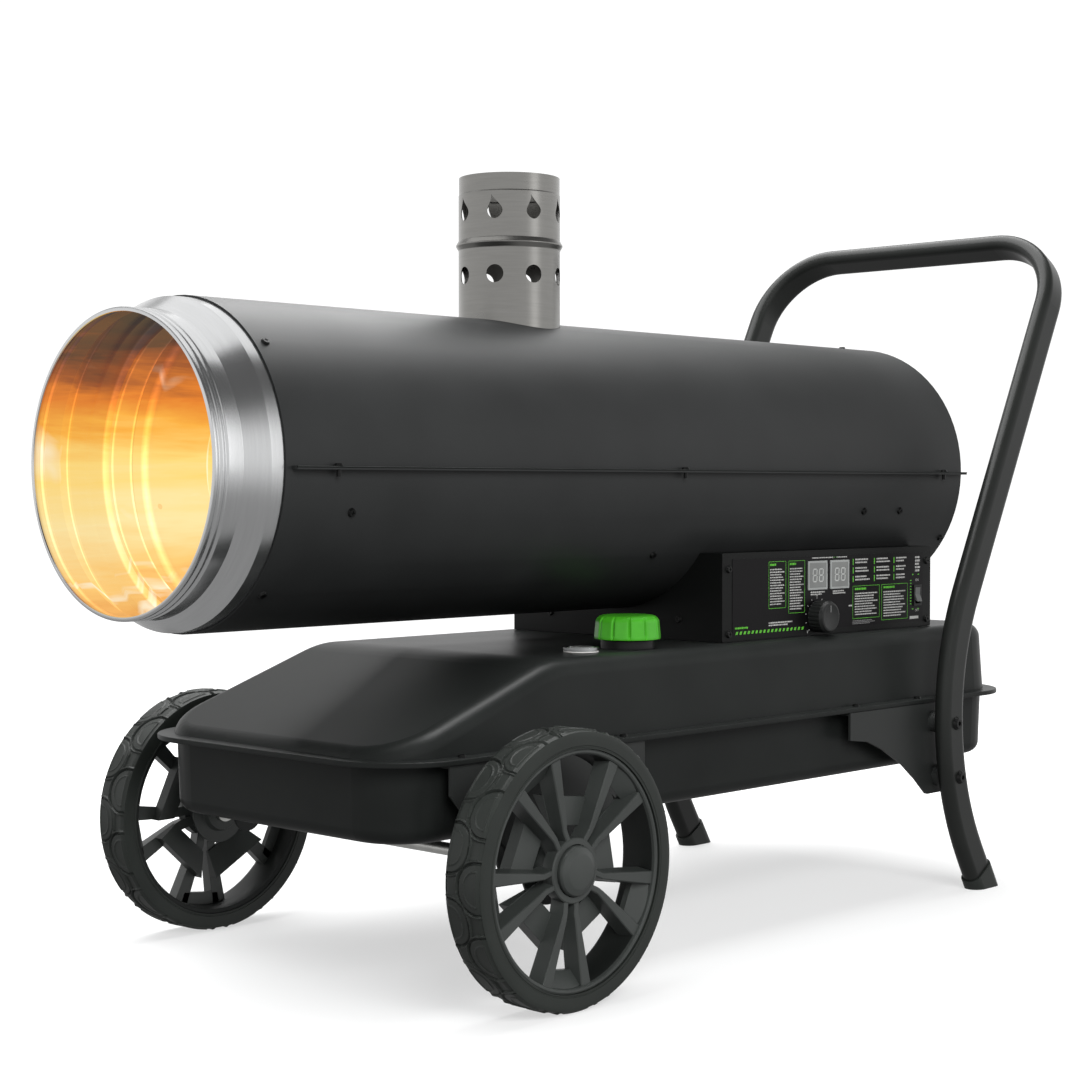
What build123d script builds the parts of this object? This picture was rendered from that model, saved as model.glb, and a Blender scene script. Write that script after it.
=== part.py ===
from build123d import *
import os
from math import atan2, cos, pi, radians, sin, sqrt, tan

os.makedirs("parts", exist_ok=True)

# Oil-fired air heater on two wheels and two legs. Millimetres, +Z up, floor at Z = 0.
# The hot air leaves towards -X, the handle is at +X and the control panel faces -Y.
# Left is -Y and right is +Y, as seen by someone who pushes the heater.

# Clearances
seat_gap = 0.3
running_gap = 0.05
bolt_gap = 0.2

# Casing: a long drum in two halves that are screwed together along a seam
casing_radius = 150.0
casing_length = 1032.0
casing_sheet = 1.5
casing_axis_z = 481.0
seam_drop = 3.0
seam_lip_width = 8.0
seam_lip_start = 6.0
cable_way_from_front = 743.0
cable_way_length = 130.0
cable_way_width = 80.0

# Outlet ring at the front of the casing
outlet_reach = 63.0
outlet_collar_radius = 136.0
outlet_sheet = 1.0
outlet_lip = 3.0
outlet_groove_depth = 1.6
outlet_tail = 18.0

# Duct liner, combustion chamber and heat exchanger
liner_radius = 138.0
liner_sheet = 1.0
liner_start = 8.0
liner_end = 690.0
liner_swage_width = 14.0
chamber_radius = 86.0
chamber_sheet = 2.0
chamber_front = 78.0
chamber_dome_depth = 30.0
chamber_rear = 640.0
exchanger_outer_radius = 122.0
exchanger_inner_radius = 104.0
exchanger_sheet = 1.5
exchanger_front = 130.0
exchanger_rear = 590.0
crossover_radius = 22.0
crossover_from_front = 170.0
crossover_angles = (-50.0, -130.0)
stand_off_length = 30.0
stand_off_width = 16.0
stand_off_sheet = 1.5

# Flue
flue_from_front = 418.0
flue_radius = 52.0
flue_sheet = 1.0
flue_top_z = 777.0
flue_spigot_step = 0.4
flue_spigot_length = 17.0
flue_bead_z = 708.0
flue_bead_height = 3.0
flue_round_hole_radius = 9.0
flue_round_hole_z = 676.0
flue_drop_hole_z = 743.0
flue_hole_count = 8
flue_hole_phase = 28.0

# Burner, motor, fan and pump, all on the casing's axis
burner_tube_radius = 45.6
burner_tube_sheet = 1.5
burner_tube_front = 596.0
burner_tube_rear = 670.0
burner_flange_radius = 70.0
turbulator_from_front = 616.0
turbulator_thickness = 2.0
turbulator_slot_count = 8
turbulator_slot_radius = 31.0
turbulator_slot_length = 15.0
turbulator_slot_width = 3.0
turbulator_slot_turn = 20.0
nozzle_radius = 9.0
nozzle_front = 606.0
nozzle_pipe_radius = 5.0
nozzle_hexagon_radius = 7.0
nozzle_hexagon_length = 4.0
nozzle_body_length = 30.0
nozzle_orifice_radius = 0.8
electrode_radius = 4.0
electrode_spread = 15.0
electrode_lift = 12.0
electrode_length = 78.0
electrode_tip_radius = 1.2
electrode_tip_length = 10.0
electrode_terminal_radius = 1.8
electrode_terminal_length = 8.0
pump_front = 705.0
pump_length = 40.0
pump_side = 60.0
pump_housing_radius = 30.0
pump_housing_sheet = 3.0
pump_chamfer = 8.0
pump_port_radius = 6.0
pump_port_length = 9.0
pump_inlet_radius = 3.2
pump_bore_depth = 18.0
coupling_radius = 14.0
coupling_length = 24.0
coupling_pin_radius = 4.0
motor_front = 777.0
motor_length = 115.0
motor_radius = 55.0
motor_cavity_radius = 34.0
motor_end_wall = 14.0
rotor_core_radius = 33.0
rotor_core_gap = 8.0
motor_vent_radius = 5.0
motor_vent_circle = 24.0
shaft_radius = 5.0
bracket_band_sheet = 2.5
bracket_width = 50.0
bracket_arm_angles = (30, 150, 270)
bracket_pad_width = 36.0
fan_hub_front = 905.0
fan_hub_length = 30.0
fan_hub_radius = 28.0
fan_tip_radius = 140.0
fan_blade_count = 5
fan_blade_sheet = 2.5
fan_root_chord = 40.0
fan_root_pitch = 42.0
fan_tip_chord = 74.0
fan_tip_pitch = 24.0
guard_from_front = 1016.0
guard_wire = 3.0
guard_band = 14.0
guard_ring_count = 6
guard_centre_radius = 15.0

# Pedestal between tank and casing, which holds the control panel
pedestal_from_front = 578.0
pedestal_length = 387.0
pedestal_half_width = 150.0
pedestal_top_z = 393.0
pedestal_sheet = 1.5
panel_sheet = 1.5
panel_margin = 16.5
panel_screw_heights = (308.6, 376.2)
end_plate_screw_spots = ((-92.8, 322.6), (92.8, 322.6))
board_gap = 14.0
board_sheet = 1.6
board_length = 190.0
board_height = 62.0
board_z = 352.0
relay_pitch = 20.0
relay_heights = (18.0, 14.0, 22.0)
spacer_radius = 3.0
overlay_sheet = 0.4
window_width = 35.0
window_height = 31.5
window_z = 365.5
window_from_front = (742.9, 783.7)
window_proud = 0.8
knob_from_front = 742.0
knob_z = 320.7
knob_radius = 17.5
knob_length = 19.0
knob_flutes = 24
rocker_from_front = 936.7
rocker_z = 336.7
rocker_width = 9.6
rocker_height = 18.4
rocker_tilt = 9.0
rocker_bezel = 1.6
rocker_frame_wall = 1.4
rocker_pin_radius = 1.0
potentiometer_radius = 8.5
potentiometer_depth = 11.0
potentiometer_bush_radius = 4.2
potentiometer_shaft_radius = 3.0
potentiometer_shaft_length = 16.0
knob_crown_height = 4.0
transformer_length = 105.0
transformer_width = 50.0
transformer_height = 46.0
transformer_from_front = 828.0
transformer_y = 118.0
thermostat_from_front = 600.0
thermostat_radius = 10.0
gland_y = 100.0
gland_z = 335.0
gland_bore_radius = 4.0
gland_thread_radius = 8.0
gland_hexagon_radius = 12.0
gland_nut_length = 6.0
gland_head_length = 10.0

# Tank: a pressed lid and a pressed tub whose flanges are screwed together
tank_joint_z = 220.0
tank_flange_front = 80.0
tank_flange_rear = 1096.0
tank_flange_half_width = 195.0
tank_flange_corner = 78.0
tank_flange_sheet = 2.5
tank_sheet = 2.0
tank_flange_width = 16.0
lid_top_z = 300.0
lid_slope_end = 300.0
lid_nose_rise = 9.0
lid_draft = 4.0
lid_crease_radius = 120.0
lid_edge_radius = 17.0
tub_inset = 19.0
tub_bottom_z = 146.0
tub_draft = 2.0
tub_edge_radius = 14.0
flange_screw_distances = (170.0, 386.0, 769.0, 888.0)
flange_screw_y = 185.0
drain_from_front = 980.0
drain_radius = 8.0
filter_from_front = 604.0
filter_length = 60.0
filter_radius = 18.0
filter_y = 125.0
pick_up_from_front = 587.0
line_radius = 3.0
line_bend_radius = 24.0

# Filler, strainer and cap
filler_from_front = 462.0
filler_y = -123.0
filler_collar_radius = 27.0
filler_collar_height = 9.0
filler_spout_radius = 22.0
filler_wall = 2.5
filler_spout_height = 26.0
insert_wall = 2.5
insert_roof = 2.0
cap_radius = 33.5
cap_height = 24.0
cap_roof = 3.0
cap_taper = 6.0
cap_notches = 12
strainer_depth = 78.0

# Fuel gauge
gauge_from_front = 392.0
gauge_y = -124.0
gauge_radius = 17.5
gauge_cup_radius = 12.0
gauge_cup_depth = 40.0
float_arm_length = 105.0
float_radius = 13.0
float_length = 30.0

# Wheels and axle
wheel_radius = 125.0
wheel_outer_y = 275.0
wheel_width = 43.0
axle_from_front = 226.3
axle_radius = 6.0
tyre_inner_radius = 107.5
tread_depth = 1.6
tread_pads = 12
pad_share = 0.62
pad_reach = 25.0
tyre_chamfer = 2.5
rim_ring_sheet = 4.5
hub_radius = 22.0
hub_flange_radius = 29.0
web_radius = 62.0
spoke_pairs = 5
spoke_pair_phase = -90.0
spoke_width = 9.0
spoke_root_gap = 5.0
spoke_tip_gap = 32.0
spoke_front_recess = 4.0
spoke_depth = 20.0
hubcap_radius = 22.5
hubcap_proud = 2.0
hub_flange_depth = 9.0
hub_recess = 13.0
hub_recess_radius = 20.0

# Handle: one bent flat-oval tube that is also the two legs
leg_y = 214.0
tube_wide = 40.0
tube_thick = 20.0
tube_wall = 1.5
leg_foot_from_front = 978.3
leg_lower_lean = 30.63
leg_corner_z = 192.3
leg_upper_lean = 27.53
handle_bar_z = 758.0
leg_bend_radius = 305.0
bar_bend_radius = 90.0
foot_floor = 4.0
foot_sleeve = 2.0
foot_height = 24.0
handle_bolt_heights = (195.5, 133.9)
handle_bolt_radius = 4.0
gusset_sheet = 3.0
bracket_plate_y = 188.0
bracket_boss_radius = 17.0
gusset_plate_y = 191.0
gusset_boss_radius = 12.0

# Screws
screw_radius = 2.0
screw_head_radius = 4.2
screw_head_height = 2.4

# Values worked out from the sizes above
leg_corner_from_front = leg_foot_from_front - leg_corner_z * tan(radians(leg_lower_lean))
bar_from_front = leg_corner_from_front + (handle_bar_z - leg_corner_z) * tan(radians(leg_upper_lean))
tube_straight = (tube_wide - tube_thick) / 2
handle_reach = bar_from_front + tube_straight * cos(radians(leg_upper_lean)) + tube_thick / 2
front = (outlet_reach - handle_reach) / 2
casing_inner = casing_radius - casing_sheet
duct_seat = casing_inner - seat_gap
seam_z = casing_axis_z - seam_drop
axle_x = front + axle_from_front
axle_z = wheel_radius
flue_x = front + flue_from_front
liner_inner = liner_radius - liner_sheet
pedestal_x = front + pedestal_from_front
panel_back_y = -pedestal_half_width
panel_front_y = panel_back_y - panel_sheet
overlay_front_y = panel_front_y - overlay_sheet
pedestal_floor_z = lid_top_z + seat_gap
pedestal_floor_top_z = pedestal_floor_z + pedestal_sheet
casing_axis = Axis((0, 0, casing_axis_z), (1, 0, 0))


def save(piece, name):
    piece.part.label = name
    export_step(piece.part, f"parts/{name}.step")


# Plane square to the casing's axis, its normal towards the rear, its origin on the axis
def across(from_front):
    return Plane(origin=(front + from_front, 0, casing_axis_z), x_dir=(0, 1, 0), z_dir=(1, 0, 0))


# Upright plane that faces -Y, with local X along X and local Y up
def side(y, from_front=0.0, z=0.0):
    return Plane(origin=(front + from_front, y, z), x_dir=(1, 0, 0), z_dir=(0, -1, 0))


# Level plane, normal up
def level(z, from_front=0.0, y=0.0):
    return Plane(origin=(front + from_front, y, z), x_dir=(1, 0, 0), z_dir=(0, 0, 1))


# Plane that touches a drum about the casing's axis, its normal outwards; angle from +Y to +Z
def radial(from_front, angle, radius):
    outward = (0, cos(radians(angle)), sin(radians(angle)))
    origin = (front + from_front, radius * outward[1], casing_axis_z + radius * outward[2])
    return Plane(origin=origin, x_dir=(1, 0, 0), z_dir=outward)


def disc(plane, radius, length, mode=Mode.ADD):
    with BuildSketch(plane) as section:
        Circle(radius)
    extrude(section.sketch, amount=length, mode=mode)


def ring(plane, outer, inner, length, mode=Mode.ADD):
    with BuildSketch(plane) as section:
        Circle(outer)
        Circle(inner, mode=Mode.SUBTRACT)
    extrude(section.sketch, amount=length, mode=mode)


def block(plane, width, height, length, mode=Mode.ADD):
    with BuildSketch(plane) as section:
        Rectangle(width, height)
    extrude(section.sketch, amount=length, mode=mode)


# Screw whose head rests on the plane and whose shank goes down through it
def pan_screw(plane, shank_length):
    disc(plane, screw_radius, -shank_length)
    with BuildSketch(plane) as head:
        Circle(screw_head_radius)
    extrude(head.sketch, amount=screw_head_height, taper=22)
    recess_plane = plane.offset(screw_head_height - 1.2)
    with BuildSketch(recess_plane) as recess:
        Rectangle(4.0, 0.9)
        Rectangle(0.9, 4.0)
    extrude(recess.sketch, amount=1.2, mode=Mode.SUBTRACT)


# Places of the casing's own screws: distance from the front, angle from +Y to +Z
casing_screw_angles_low = (
    (14.0, 48.0),
    (77.0, 16.0),
    (503.0, 36.0),
    (843.0, 18.0),
    (914.0, 18.0),
    (1022.0, 32.0),
)
casing_screw_spots = [(12.0, 44.0), (12.0, 136.0), (486.0, 90.0), (1000.0, 90.0)]
for distance, drop in casing_screw_angles_low:
    casing_screw_spots.append((distance, -drop))
    casing_screw_spots.append((distance, drop - 180.0))
seam_screw_distances = (54.0, 515.0, 988.0)
seam_screw_y = casing_radius + screw_head_radius + seat_gap
casing_screw_length = casing_sheet + 5.0


# Half drum of the casing with a flat lip along each side; up is 1 for the upper half, -1 for the lower
def casing_half(up):
    with BuildPart() as half:
        with BuildSketch(across(0)):
            Circle(casing_radius)
            Circle(casing_inner, mode=Mode.SUBTRACT)
            with Locations((0, -seam_drop - up * casing_radius * 2)):
                Rectangle(4 * casing_radius, 4 * casing_radius, mode=Mode.SUBTRACT)
        extrude(amount=casing_length)
        with BuildSketch(across(seam_lip_start)):
            lip_y = (casing_inner + casing_radius + seam_lip_width) / 2
            lip_width = casing_radius + seam_lip_width - casing_inner
            with Locations((lip_y, -seam_drop + up * casing_sheet / 2)):
                Rectangle(lip_width, casing_sheet)
            with Locations((-lip_y, -seam_drop + up * casing_sheet / 2)):
                Rectangle(lip_width, casing_sheet)
        extrude(amount=casing_length - seam_lip_start)
        for distance in seam_screw_distances:
            for y in (-seam_screw_y, seam_screw_y):
                disc(level(seam_z - 5, distance, y), screw_radius + bolt_gap, 10, Mode.SUBTRACT)
        for distance, angle in casing_screw_spots:
            if sin(radians(angle)) * up > 0:
                hole = radial(distance, angle, casing_inner - 5)
                disc(hole, screw_radius + bolt_gap, 10, Mode.SUBTRACT)
        if up > 0:
            disc(level(casing_axis_z, flue_from_front), flue_radius + seat_gap, 200, Mode.SUBTRACT)
        else:
            cable_way = level(casing_axis_z - casing_radius - 50, cable_way_from_front)
            block(cable_way, cable_way_length, cable_way_width, 100, Mode.SUBTRACT)
    return half


casing_upper = casing_half(1)
save(casing_upper, "casing_upper")
casing_lower = casing_half(-1)
save(casing_lower, "casing_lower")

with BuildPart() as casing_screws:
    for distance, angle in casing_screw_spots:
        pan_screw(radial(distance, angle, casing_radius), casing_screw_length)
    for distance in seam_screw_distances:
        for y in (-seam_screw_y, seam_screw_y):
            pan_screw(level(seam_z + casing_sheet, distance, y), 2 * casing_sheet + 6)
save(casing_screws, "casing_screws")


# Outlet ring: a sheet collar with two grooves behind its rim, a flare and a band inside the casing
rim_x = front - outlet_reach
collar_top_edge = casing_axis_z + outlet_collar_radius
ring_outside = [
    (rim_x, collar_top_edge),
    (rim_x + 3.5, collar_top_edge),
    (rim_x + 4.5, collar_top_edge - outlet_groove_depth),
    (rim_x + 6.5, collar_top_edge - outlet_groove_depth),
    (rim_x + 7.5, collar_top_edge),
    (rim_x + 10.5, collar_top_edge),
    (rim_x + 11.5, collar_top_edge - outlet_groove_depth),
    (rim_x + 13.0, collar_top_edge - outlet_groove_depth),
    (rim_x + 14.0, collar_top_edge),
    (rim_x + 22.0, collar_top_edge),
    (rim_x + 45.0, casing_axis_z + duct_seat),
    (front + outlet_tail, casing_axis_z + duct_seat),
]
ring_inside = [(x, z - outlet_sheet) for x, z in reversed(ring_outside[1:])]
ring_lip = [
    (rim_x + outlet_sheet, collar_top_edge - outlet_sheet),
    (rim_x + outlet_sheet, collar_top_edge - outlet_lip),
    (rim_x, collar_top_edge - outlet_lip),
]
with BuildPart() as outlet_ring:
    with BuildSketch(Plane.XZ):
        with BuildLine():
            Polyline(*ring_outside, *ring_inside, *ring_lip, close=True)
        make_face()
    revolve(axis=casing_axis)
    for distance, angle in casing_screw_spots:
        if distance < outlet_tail:
            hole = radial(distance, angle, duct_seat - 5)
            disc(hole, screw_radius + bolt_gap, 10, Mode.SUBTRACT)
save(outlet_ring, "outlet_ring")


# Duct liner with two swages that seat it in the casing
with BuildPart() as inner_duct:
    with BuildSketch(Plane.XZ):
        with BuildLine():
            base = casing_axis_z + liner_radius
            crest = casing_axis_z + duct_seat
            first = front + liner_start + 40
            second = front + liner_end - 40
            FilletPolyline(
                (front + liner_start + 14, base - 4),
                (front + liner_start + 14, base),
                (first, base),
                (first + 4, crest),
                (first + 4 + liner_swage_width, crest),
                (first + 8 + liner_swage_width, base),
                (second - 8 - liner_swage_width, base),
                (second - 4 - liner_swage_width, crest),
                (second - 4, crest),
                (second, base),
                (front + liner_end, base),
                radius=1.5,
            )
            offset(amount=liner_sheet, side=Side.RIGHT)
        make_face()
    revolve(axis=casing_axis)
    disc(level(casing_axis_z, flue_from_front), flue_radius - flue_sheet, 200, Mode.SUBTRACT)
    for distance, angle in casing_screw_spots:
        if distance < liner_end:
            hole = radial(distance, angle, liner_radius - 20)
            disc(hole, screw_radius + 1.0, 40, Mode.SUBTRACT)
save(inner_duct, "inner_duct")


# Combustion chamber: a drum with a domed front and a holed rear plate
with BuildPart() as combustion_chamber:
    with BuildSketch(Plane.XZ):
        with BuildLine():
            nose = front + chamber_front
            shoulder = nose + chamber_dome_depth
            back = front + chamber_rear
            wall_top = casing_axis_z + chamber_radius
            bore_top = casing_axis_z + burner_tube_radius + seat_gap
            outer_mid = (nose + 0.2 * chamber_dome_depth, casing_axis_z + 0.66 * chamber_radius)
            inner_mid = (outer_mid[0] + chamber_sheet, outer_mid[1] - 0.5 * chamber_sheet)
            Spline((nose, casing_axis_z), outer_mid, (shoulder, wall_top), tangents=((0, 1), (1, 0)))
            Line((shoulder, wall_top), (back, wall_top))
            Line((back, wall_top), (back, bore_top))
            Line((back, bore_top), (back - chamber_sheet, bore_top))
            Line((back - chamber_sheet, bore_top), (back - chamber_sheet, wall_top - chamber_sheet))
            Line(
                (back - chamber_sheet, wall_top - chamber_sheet),
                (shoulder + chamber_sheet, wall_top - chamber_sheet),
            )
            Spline(
                (shoulder + chamber_sheet, wall_top - chamber_sheet),
                inner_mid,
                (nose + chamber_sheet, casing_axis_z),
                tangents=((-1, 0), (0, -1)),
            )
            Line((nose + chamber_sheet, casing_axis_z), (nose, casing_axis_z))
        make_face()
    revolve(axis=casing_axis)
    for angle in crossover_angles:
        hole = radial(crossover_from_front, angle, chamber_radius - 20)
        disc(hole, crossover_radius - exchanger_sheet, 40, Mode.SUBTRACT)
save(combustion_chamber, "combustion_chamber")


# Heat exchanger: a hollow ring-shaped drum, its flue neck and the pipes from the chamber
neck_radius = flue_radius - flue_sheet - seat_gap
neck_top_z = flue_round_hole_z - flue_round_hole_radius - 8
with BuildPart() as heat_exchanger:
    drum_length = exchanger_rear - exchanger_front
    ring(across(exchanger_front), exchanger_outer_radius, exchanger_inner_radius, drum_length)
    neck_base = level(casing_axis_z + exchanger_inner_radius + 3, flue_from_front)
    disc(neck_base, neck_radius, neck_top_z - casing_axis_z - exchanger_inner_radius - 3)
    for angle in crossover_angles:
        pipe = radial(crossover_from_front, angle, chamber_radius - 10)
        disc(pipe, crossover_radius, exchanger_inner_radius - chamber_radius + 12)
    disc(across(crossover_from_front - 40), chamber_radius + seat_gap, 80, Mode.SUBTRACT)
    ring(
        across(exchanger_front + exchanger_sheet),
        exchanger_outer_radius - exchanger_sheet,
        exchanger_inner_radius + exchanger_sheet,
        drum_length - 2 * exchanger_sheet,
        Mode.SUBTRACT,
    )
    disc(neck_base, neck_radius - exchanger_sheet, 200, Mode.SUBTRACT)
    for angle in crossover_angles:
        pipe = radial(crossover_from_front, angle, chamber_radius - 10)
        bore_length = exchanger_inner_radius - chamber_radius + 14
        disc(pipe, crossover_radius - exchanger_sheet, bore_length, Mode.SUBTRACT)
save(heat_exchanger, "heat_exchanger")

# Channel-shaped stand-offs that carry the exchanger in the liner
with BuildPart() as exchanger_brackets:
    stand_off = liner_inner - exchanger_outer_radius - 3 * seat_gap
    for distance in (exchanger_front + 30, exchanger_rear - 40):
        for angle in (90, 210, 330):
            foot = radial(distance, angle, exchanger_outer_radius + seat_gap)
            block(foot, stand_off_length, stand_off_width, stand_off)
            hollow_height = stand_off - 2 * stand_off_sheet
            hollow_width = stand_off_width - 2 * stand_off_sheet
            block(foot.offset(stand_off_sheet), stand_off_length, hollow_width, hollow_height, Mode.SUBTRACT)
save(exchanger_brackets, "exchanger_brackets")


# Flue pipe with a rolled bead, a row of round holes and a row of drop-shaped holes
flue_bottom_z = casing_axis_z + liner_radius + seat_gap
with BuildPart() as flue_pipe:
    with BuildSketch(Plane.XZ):
        with BuildLine():
            outer = flue_x + flue_radius
            FilletPolyline(
                (outer, flue_bottom_z),
                (outer, flue_bead_z - 5),
                (outer + flue_bead_height, flue_bead_z),
                (outer, flue_bead_z + 5),
                (outer, flue_top_z - flue_spigot_length - 1),
                (outer - flue_spigot_step, flue_top_z - flue_spigot_length),
                (outer - flue_spigot_step, flue_top_z),
                radius=2.0,
            )
            offset(amount=flue_sheet, side=Side.LEFT)
        make_face()
    revolve(axis=Axis((flue_x, 0, 0), (0, 0, 1)))
    for step in range(flue_hole_count):
        turn = radians(flue_hole_phase + 360 * step / flue_hole_count)
        outward = (cos(turn), sin(turn), 0)
        sideways = (-sin(turn), cos(turn), 0)
        start = flue_radius - 8
        low = (flue_x + start * outward[0], start * outward[1], flue_round_hole_z)
        high = (flue_x + start * outward[0], start * outward[1], flue_drop_hole_z)
        disc(Plane(origin=low, x_dir=sideways, z_dir=outward), flue_round_hole_radius, 12, Mode.SUBTRACT)
        with BuildSketch(Plane(origin=high, x_dir=sideways, z_dir=outward)):
            with BuildLine():
                Spline(
                    (-3.5, 12.5), (2.0, 5.5), (8.2, -4.0), (0, -12.0), (-8.0, -5.0), (-5.0, 4.0), (-3.5, 12.5)
                )
            make_face()
        extrude(amount=12, mode=Mode.SUBTRACT)
save(flue_pipe, "flue_pipe")


# Burner head: air tube with its flange, turbulator disc, nozzle on its pipe and two electrodes
with BuildPart() as burner_tube:
    tube_length = burner_tube_rear - burner_tube_front
    disc(across(burner_tube_front), burner_tube_radius, tube_length)
    disc(across(chamber_rear + seat_gap), burner_flange_radius, 3)
    bore = burner_tube_radius - burner_tube_sheet
    disc(across(burner_tube_front), bore, tube_length, Mode.SUBTRACT)
save(burner_tube, "burner_tube")

electrode_spots = ((-electrode_spread, electrode_lift), (electrode_spread, electrode_lift))
with BuildPart() as turbulator:
    with BuildSketch(across(turbulator_from_front)):
        Circle(burner_tube_radius - burner_tube_sheet - seat_gap)
        Circle(nozzle_radius + bolt_gap, mode=Mode.SUBTRACT)
        with Locations(*electrode_spots):
            Circle(electrode_radius + bolt_gap, mode=Mode.SUBTRACT)
        with PolarLocations(turbulator_slot_radius, turbulator_slot_count, start_angle=22.5):
            SlotOverall(
                turbulator_slot_length,
                turbulator_slot_width,
                rotation=turbulator_slot_turn,
                mode=Mode.SUBTRACT,
            )
    extrude(amount=turbulator_thickness)
save(turbulator, "turbulator")

with BuildPart() as nozzle:
    pipe_front = nozzle_front + nozzle_hexagon_length + nozzle_body_length
    disc(across(nozzle_front + nozzle_hexagon_length), nozzle_radius, nozzle_body_length)
    with BuildSketch(across(nozzle_front)):
        RegularPolygon(nozzle_hexagon_radius, 6)
    extrude(amount=nozzle_hexagon_length)
    disc(across(pipe_front), nozzle_pipe_radius, pump_front - seat_gap - pipe_front)
    disc(across(nozzle_front), nozzle_orifice_radius, 3, Mode.SUBTRACT)
save(nozzle, "nozzle")

with BuildPart() as electrodes:
    for spot_y, spot_z in electrode_spots:
        start = across(turbulator_from_front - 14)
        rod_origin = start.from_local_coords((spot_y, spot_z, 0))
        rod = Plane(origin=rod_origin, x_dir=start.x_dir, z_dir=start.z_dir)
        disc(rod, electrode_radius, electrode_length)
        disc(rod, electrode_tip_radius, -electrode_tip_length)
        disc(rod.offset(electrode_length), electrode_terminal_radius, electrode_terminal_length)
save(electrodes, "electrodes")


# Motor with its shaft, rotor core, fan and the bracket that holds it in the casing
motor_rear = motor_front + motor_length
with BuildPart() as motor:
    disc(across(motor_front), motor_radius, motor_length)
    chamfer(edges().filter_by(GeomType.CIRCLE), 5)
    cavity_length = motor_length - 2 * motor_end_wall
    disc(across(motor_front + motor_end_wall), motor_cavity_radius, cavity_length, Mode.SUBTRACT)
    disc(across(motor_front), shaft_radius + running_gap, motor_length, Mode.SUBTRACT)
    for angle in range(0, 360, 60):
        vent = across(motor_rear - motor_end_wall)
        vent_y = motor_vent_circle * cos(radians(angle))
        vent_z = motor_vent_circle * sin(radians(angle))
        spot = vent.from_local_coords((vent_y, vent_z, 0))
        vent_hole = Plane(origin=spot, x_dir=vent.x_dir, z_dir=vent.z_dir)
        disc(vent_hole, motor_vent_radius, motor_end_wall + 5, Mode.SUBTRACT)
save(motor, "motor")

shaft_start = pump_front + pump_length + 5
shaft_end = fan_hub_front + fan_hub_length + 3
with BuildPart() as motor_shaft:
    socket_start = shaft_start + coupling_length / 2
    disc(across(socket_start), shaft_radius, shaft_end - socket_start)
    core_start = motor_front + motor_end_wall + rotor_core_gap
    disc(across(core_start), rotor_core_radius, motor_length - 2 * (motor_end_wall + rotor_core_gap))
save(motor_shaft, "motor_shaft")

with BuildPart() as motor_bracket:
    band_inner = motor_radius + seat_gap
    band_outer = band_inner + bracket_band_sheet
    band_front = motor_front + (motor_length - bracket_width) / 2
    with BuildSketch(across(band_front)):
        Circle(band_outer)
        for angle in bracket_arm_angles:
            with Locations(Location((0, 0, 0), (0, 0, angle))):
                with Locations((duct_seat / 2, 0)):
                    Rectangle(duct_seat, bracket_band_sheet)
                with Locations((duct_seat - bracket_band_sheet / 2, 0)):
                    Rectangle(bracket_band_sheet * 2, bracket_pad_width)
        Circle(band_inner, mode=Mode.SUBTRACT)
    extrude(amount=bracket_width)
    ring(across(band_front - 1), casing_radius + 20, duct_seat, bracket_width + 2, Mode.SUBTRACT)
save(motor_bracket, "motor_bracket")

with BuildPart() as fan:
    disc(across(fan_hub_front), fan_hub_radius, fan_hub_length)
    chamfer(edges().filter_by(GeomType.CIRCLE).sort_by(Axis.X)[-1], 4)
    blade_centre = fan_hub_front + fan_hub_length / 2
    for step in range(fan_blade_count):
        angle = 360 * step / fan_blade_count
        with BuildSketch(radial(blade_centre, angle, fan_hub_radius - 6)) as root:
            Rectangle(fan_root_chord, fan_blade_sheet, rotation=fan_root_pitch)
        with BuildSketch(radial(blade_centre, angle, fan_tip_radius)) as tip:
            Rectangle(fan_tip_chord, fan_blade_sheet, rotation=fan_tip_pitch)
        loft([root.sketch.face(), tip.sketch.face()])
    disc(across(fan_hub_front - 1), shaft_radius, fan_hub_length + 2, Mode.SUBTRACT)
save(fan, "fan")

with BuildPart() as fan_guard:
    ring(across(guard_from_front - guard_wire), duct_seat, duct_seat - guard_wire, guard_band)
    with BuildSketch(across(guard_from_front)):
        Circle(guard_centre_radius)
        for step in range(1, guard_ring_count):
            mesh = guard_centre_radius + (duct_seat - guard_centre_radius) * step / guard_ring_count
            Circle(mesh + guard_wire / 2)
            Circle(mesh - guard_wire / 2, mode=Mode.SUBTRACT)
            Circle(guard_centre_radius)
        with PolarLocations(0, 6):
            with Locations((duct_seat / 2, 0)):
                Rectangle(duct_seat - 4, guard_wire)
    extrude(amount=guard_wire)
    for distance, angle in casing_screw_spots:
        if distance > guard_from_front - guard_wire:
            hole = radial(distance, angle, casing_inner - 10)
            disc(hole, screw_radius + bolt_gap, 20, Mode.SUBTRACT)
save(fan_guard, "fan_guard")


# Fuel pump with the housing that spaces it off the motor, and the coupling between their shafts
with BuildPart() as fuel_pump:
    block(across(pump_front), pump_side, pump_side, pump_length)
    chamfer(edges().filter_by(Axis.X), pump_chamfer)
    housing_start = pump_front + pump_length
    housing_length = motor_front - seat_gap - housing_start
    ring(
        across(housing_start),
        pump_housing_radius,
        pump_housing_radius - pump_housing_sheet,
        housing_length,
    )
    port = Plane(
        origin=(front + pump_front + 12, pump_side / 2, casing_axis_z - 12),
        x_dir=(1, 0, 0),
        z_dir=(0, 1, 0),
    )
    disc(port, pump_port_radius, pump_port_length)
    pump_bore = across(housing_start - pump_bore_depth)
    disc(pump_bore, coupling_pin_radius + running_gap, pump_bore_depth, Mode.SUBTRACT)
    pump_inlet_plane = level(casing_axis_z - pump_side / 2, pump_front + pump_length / 2)
    disc(pump_inlet_plane, pump_inlet_radius, 12, Mode.SUBTRACT)
save(fuel_pump, "fuel_pump")

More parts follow.
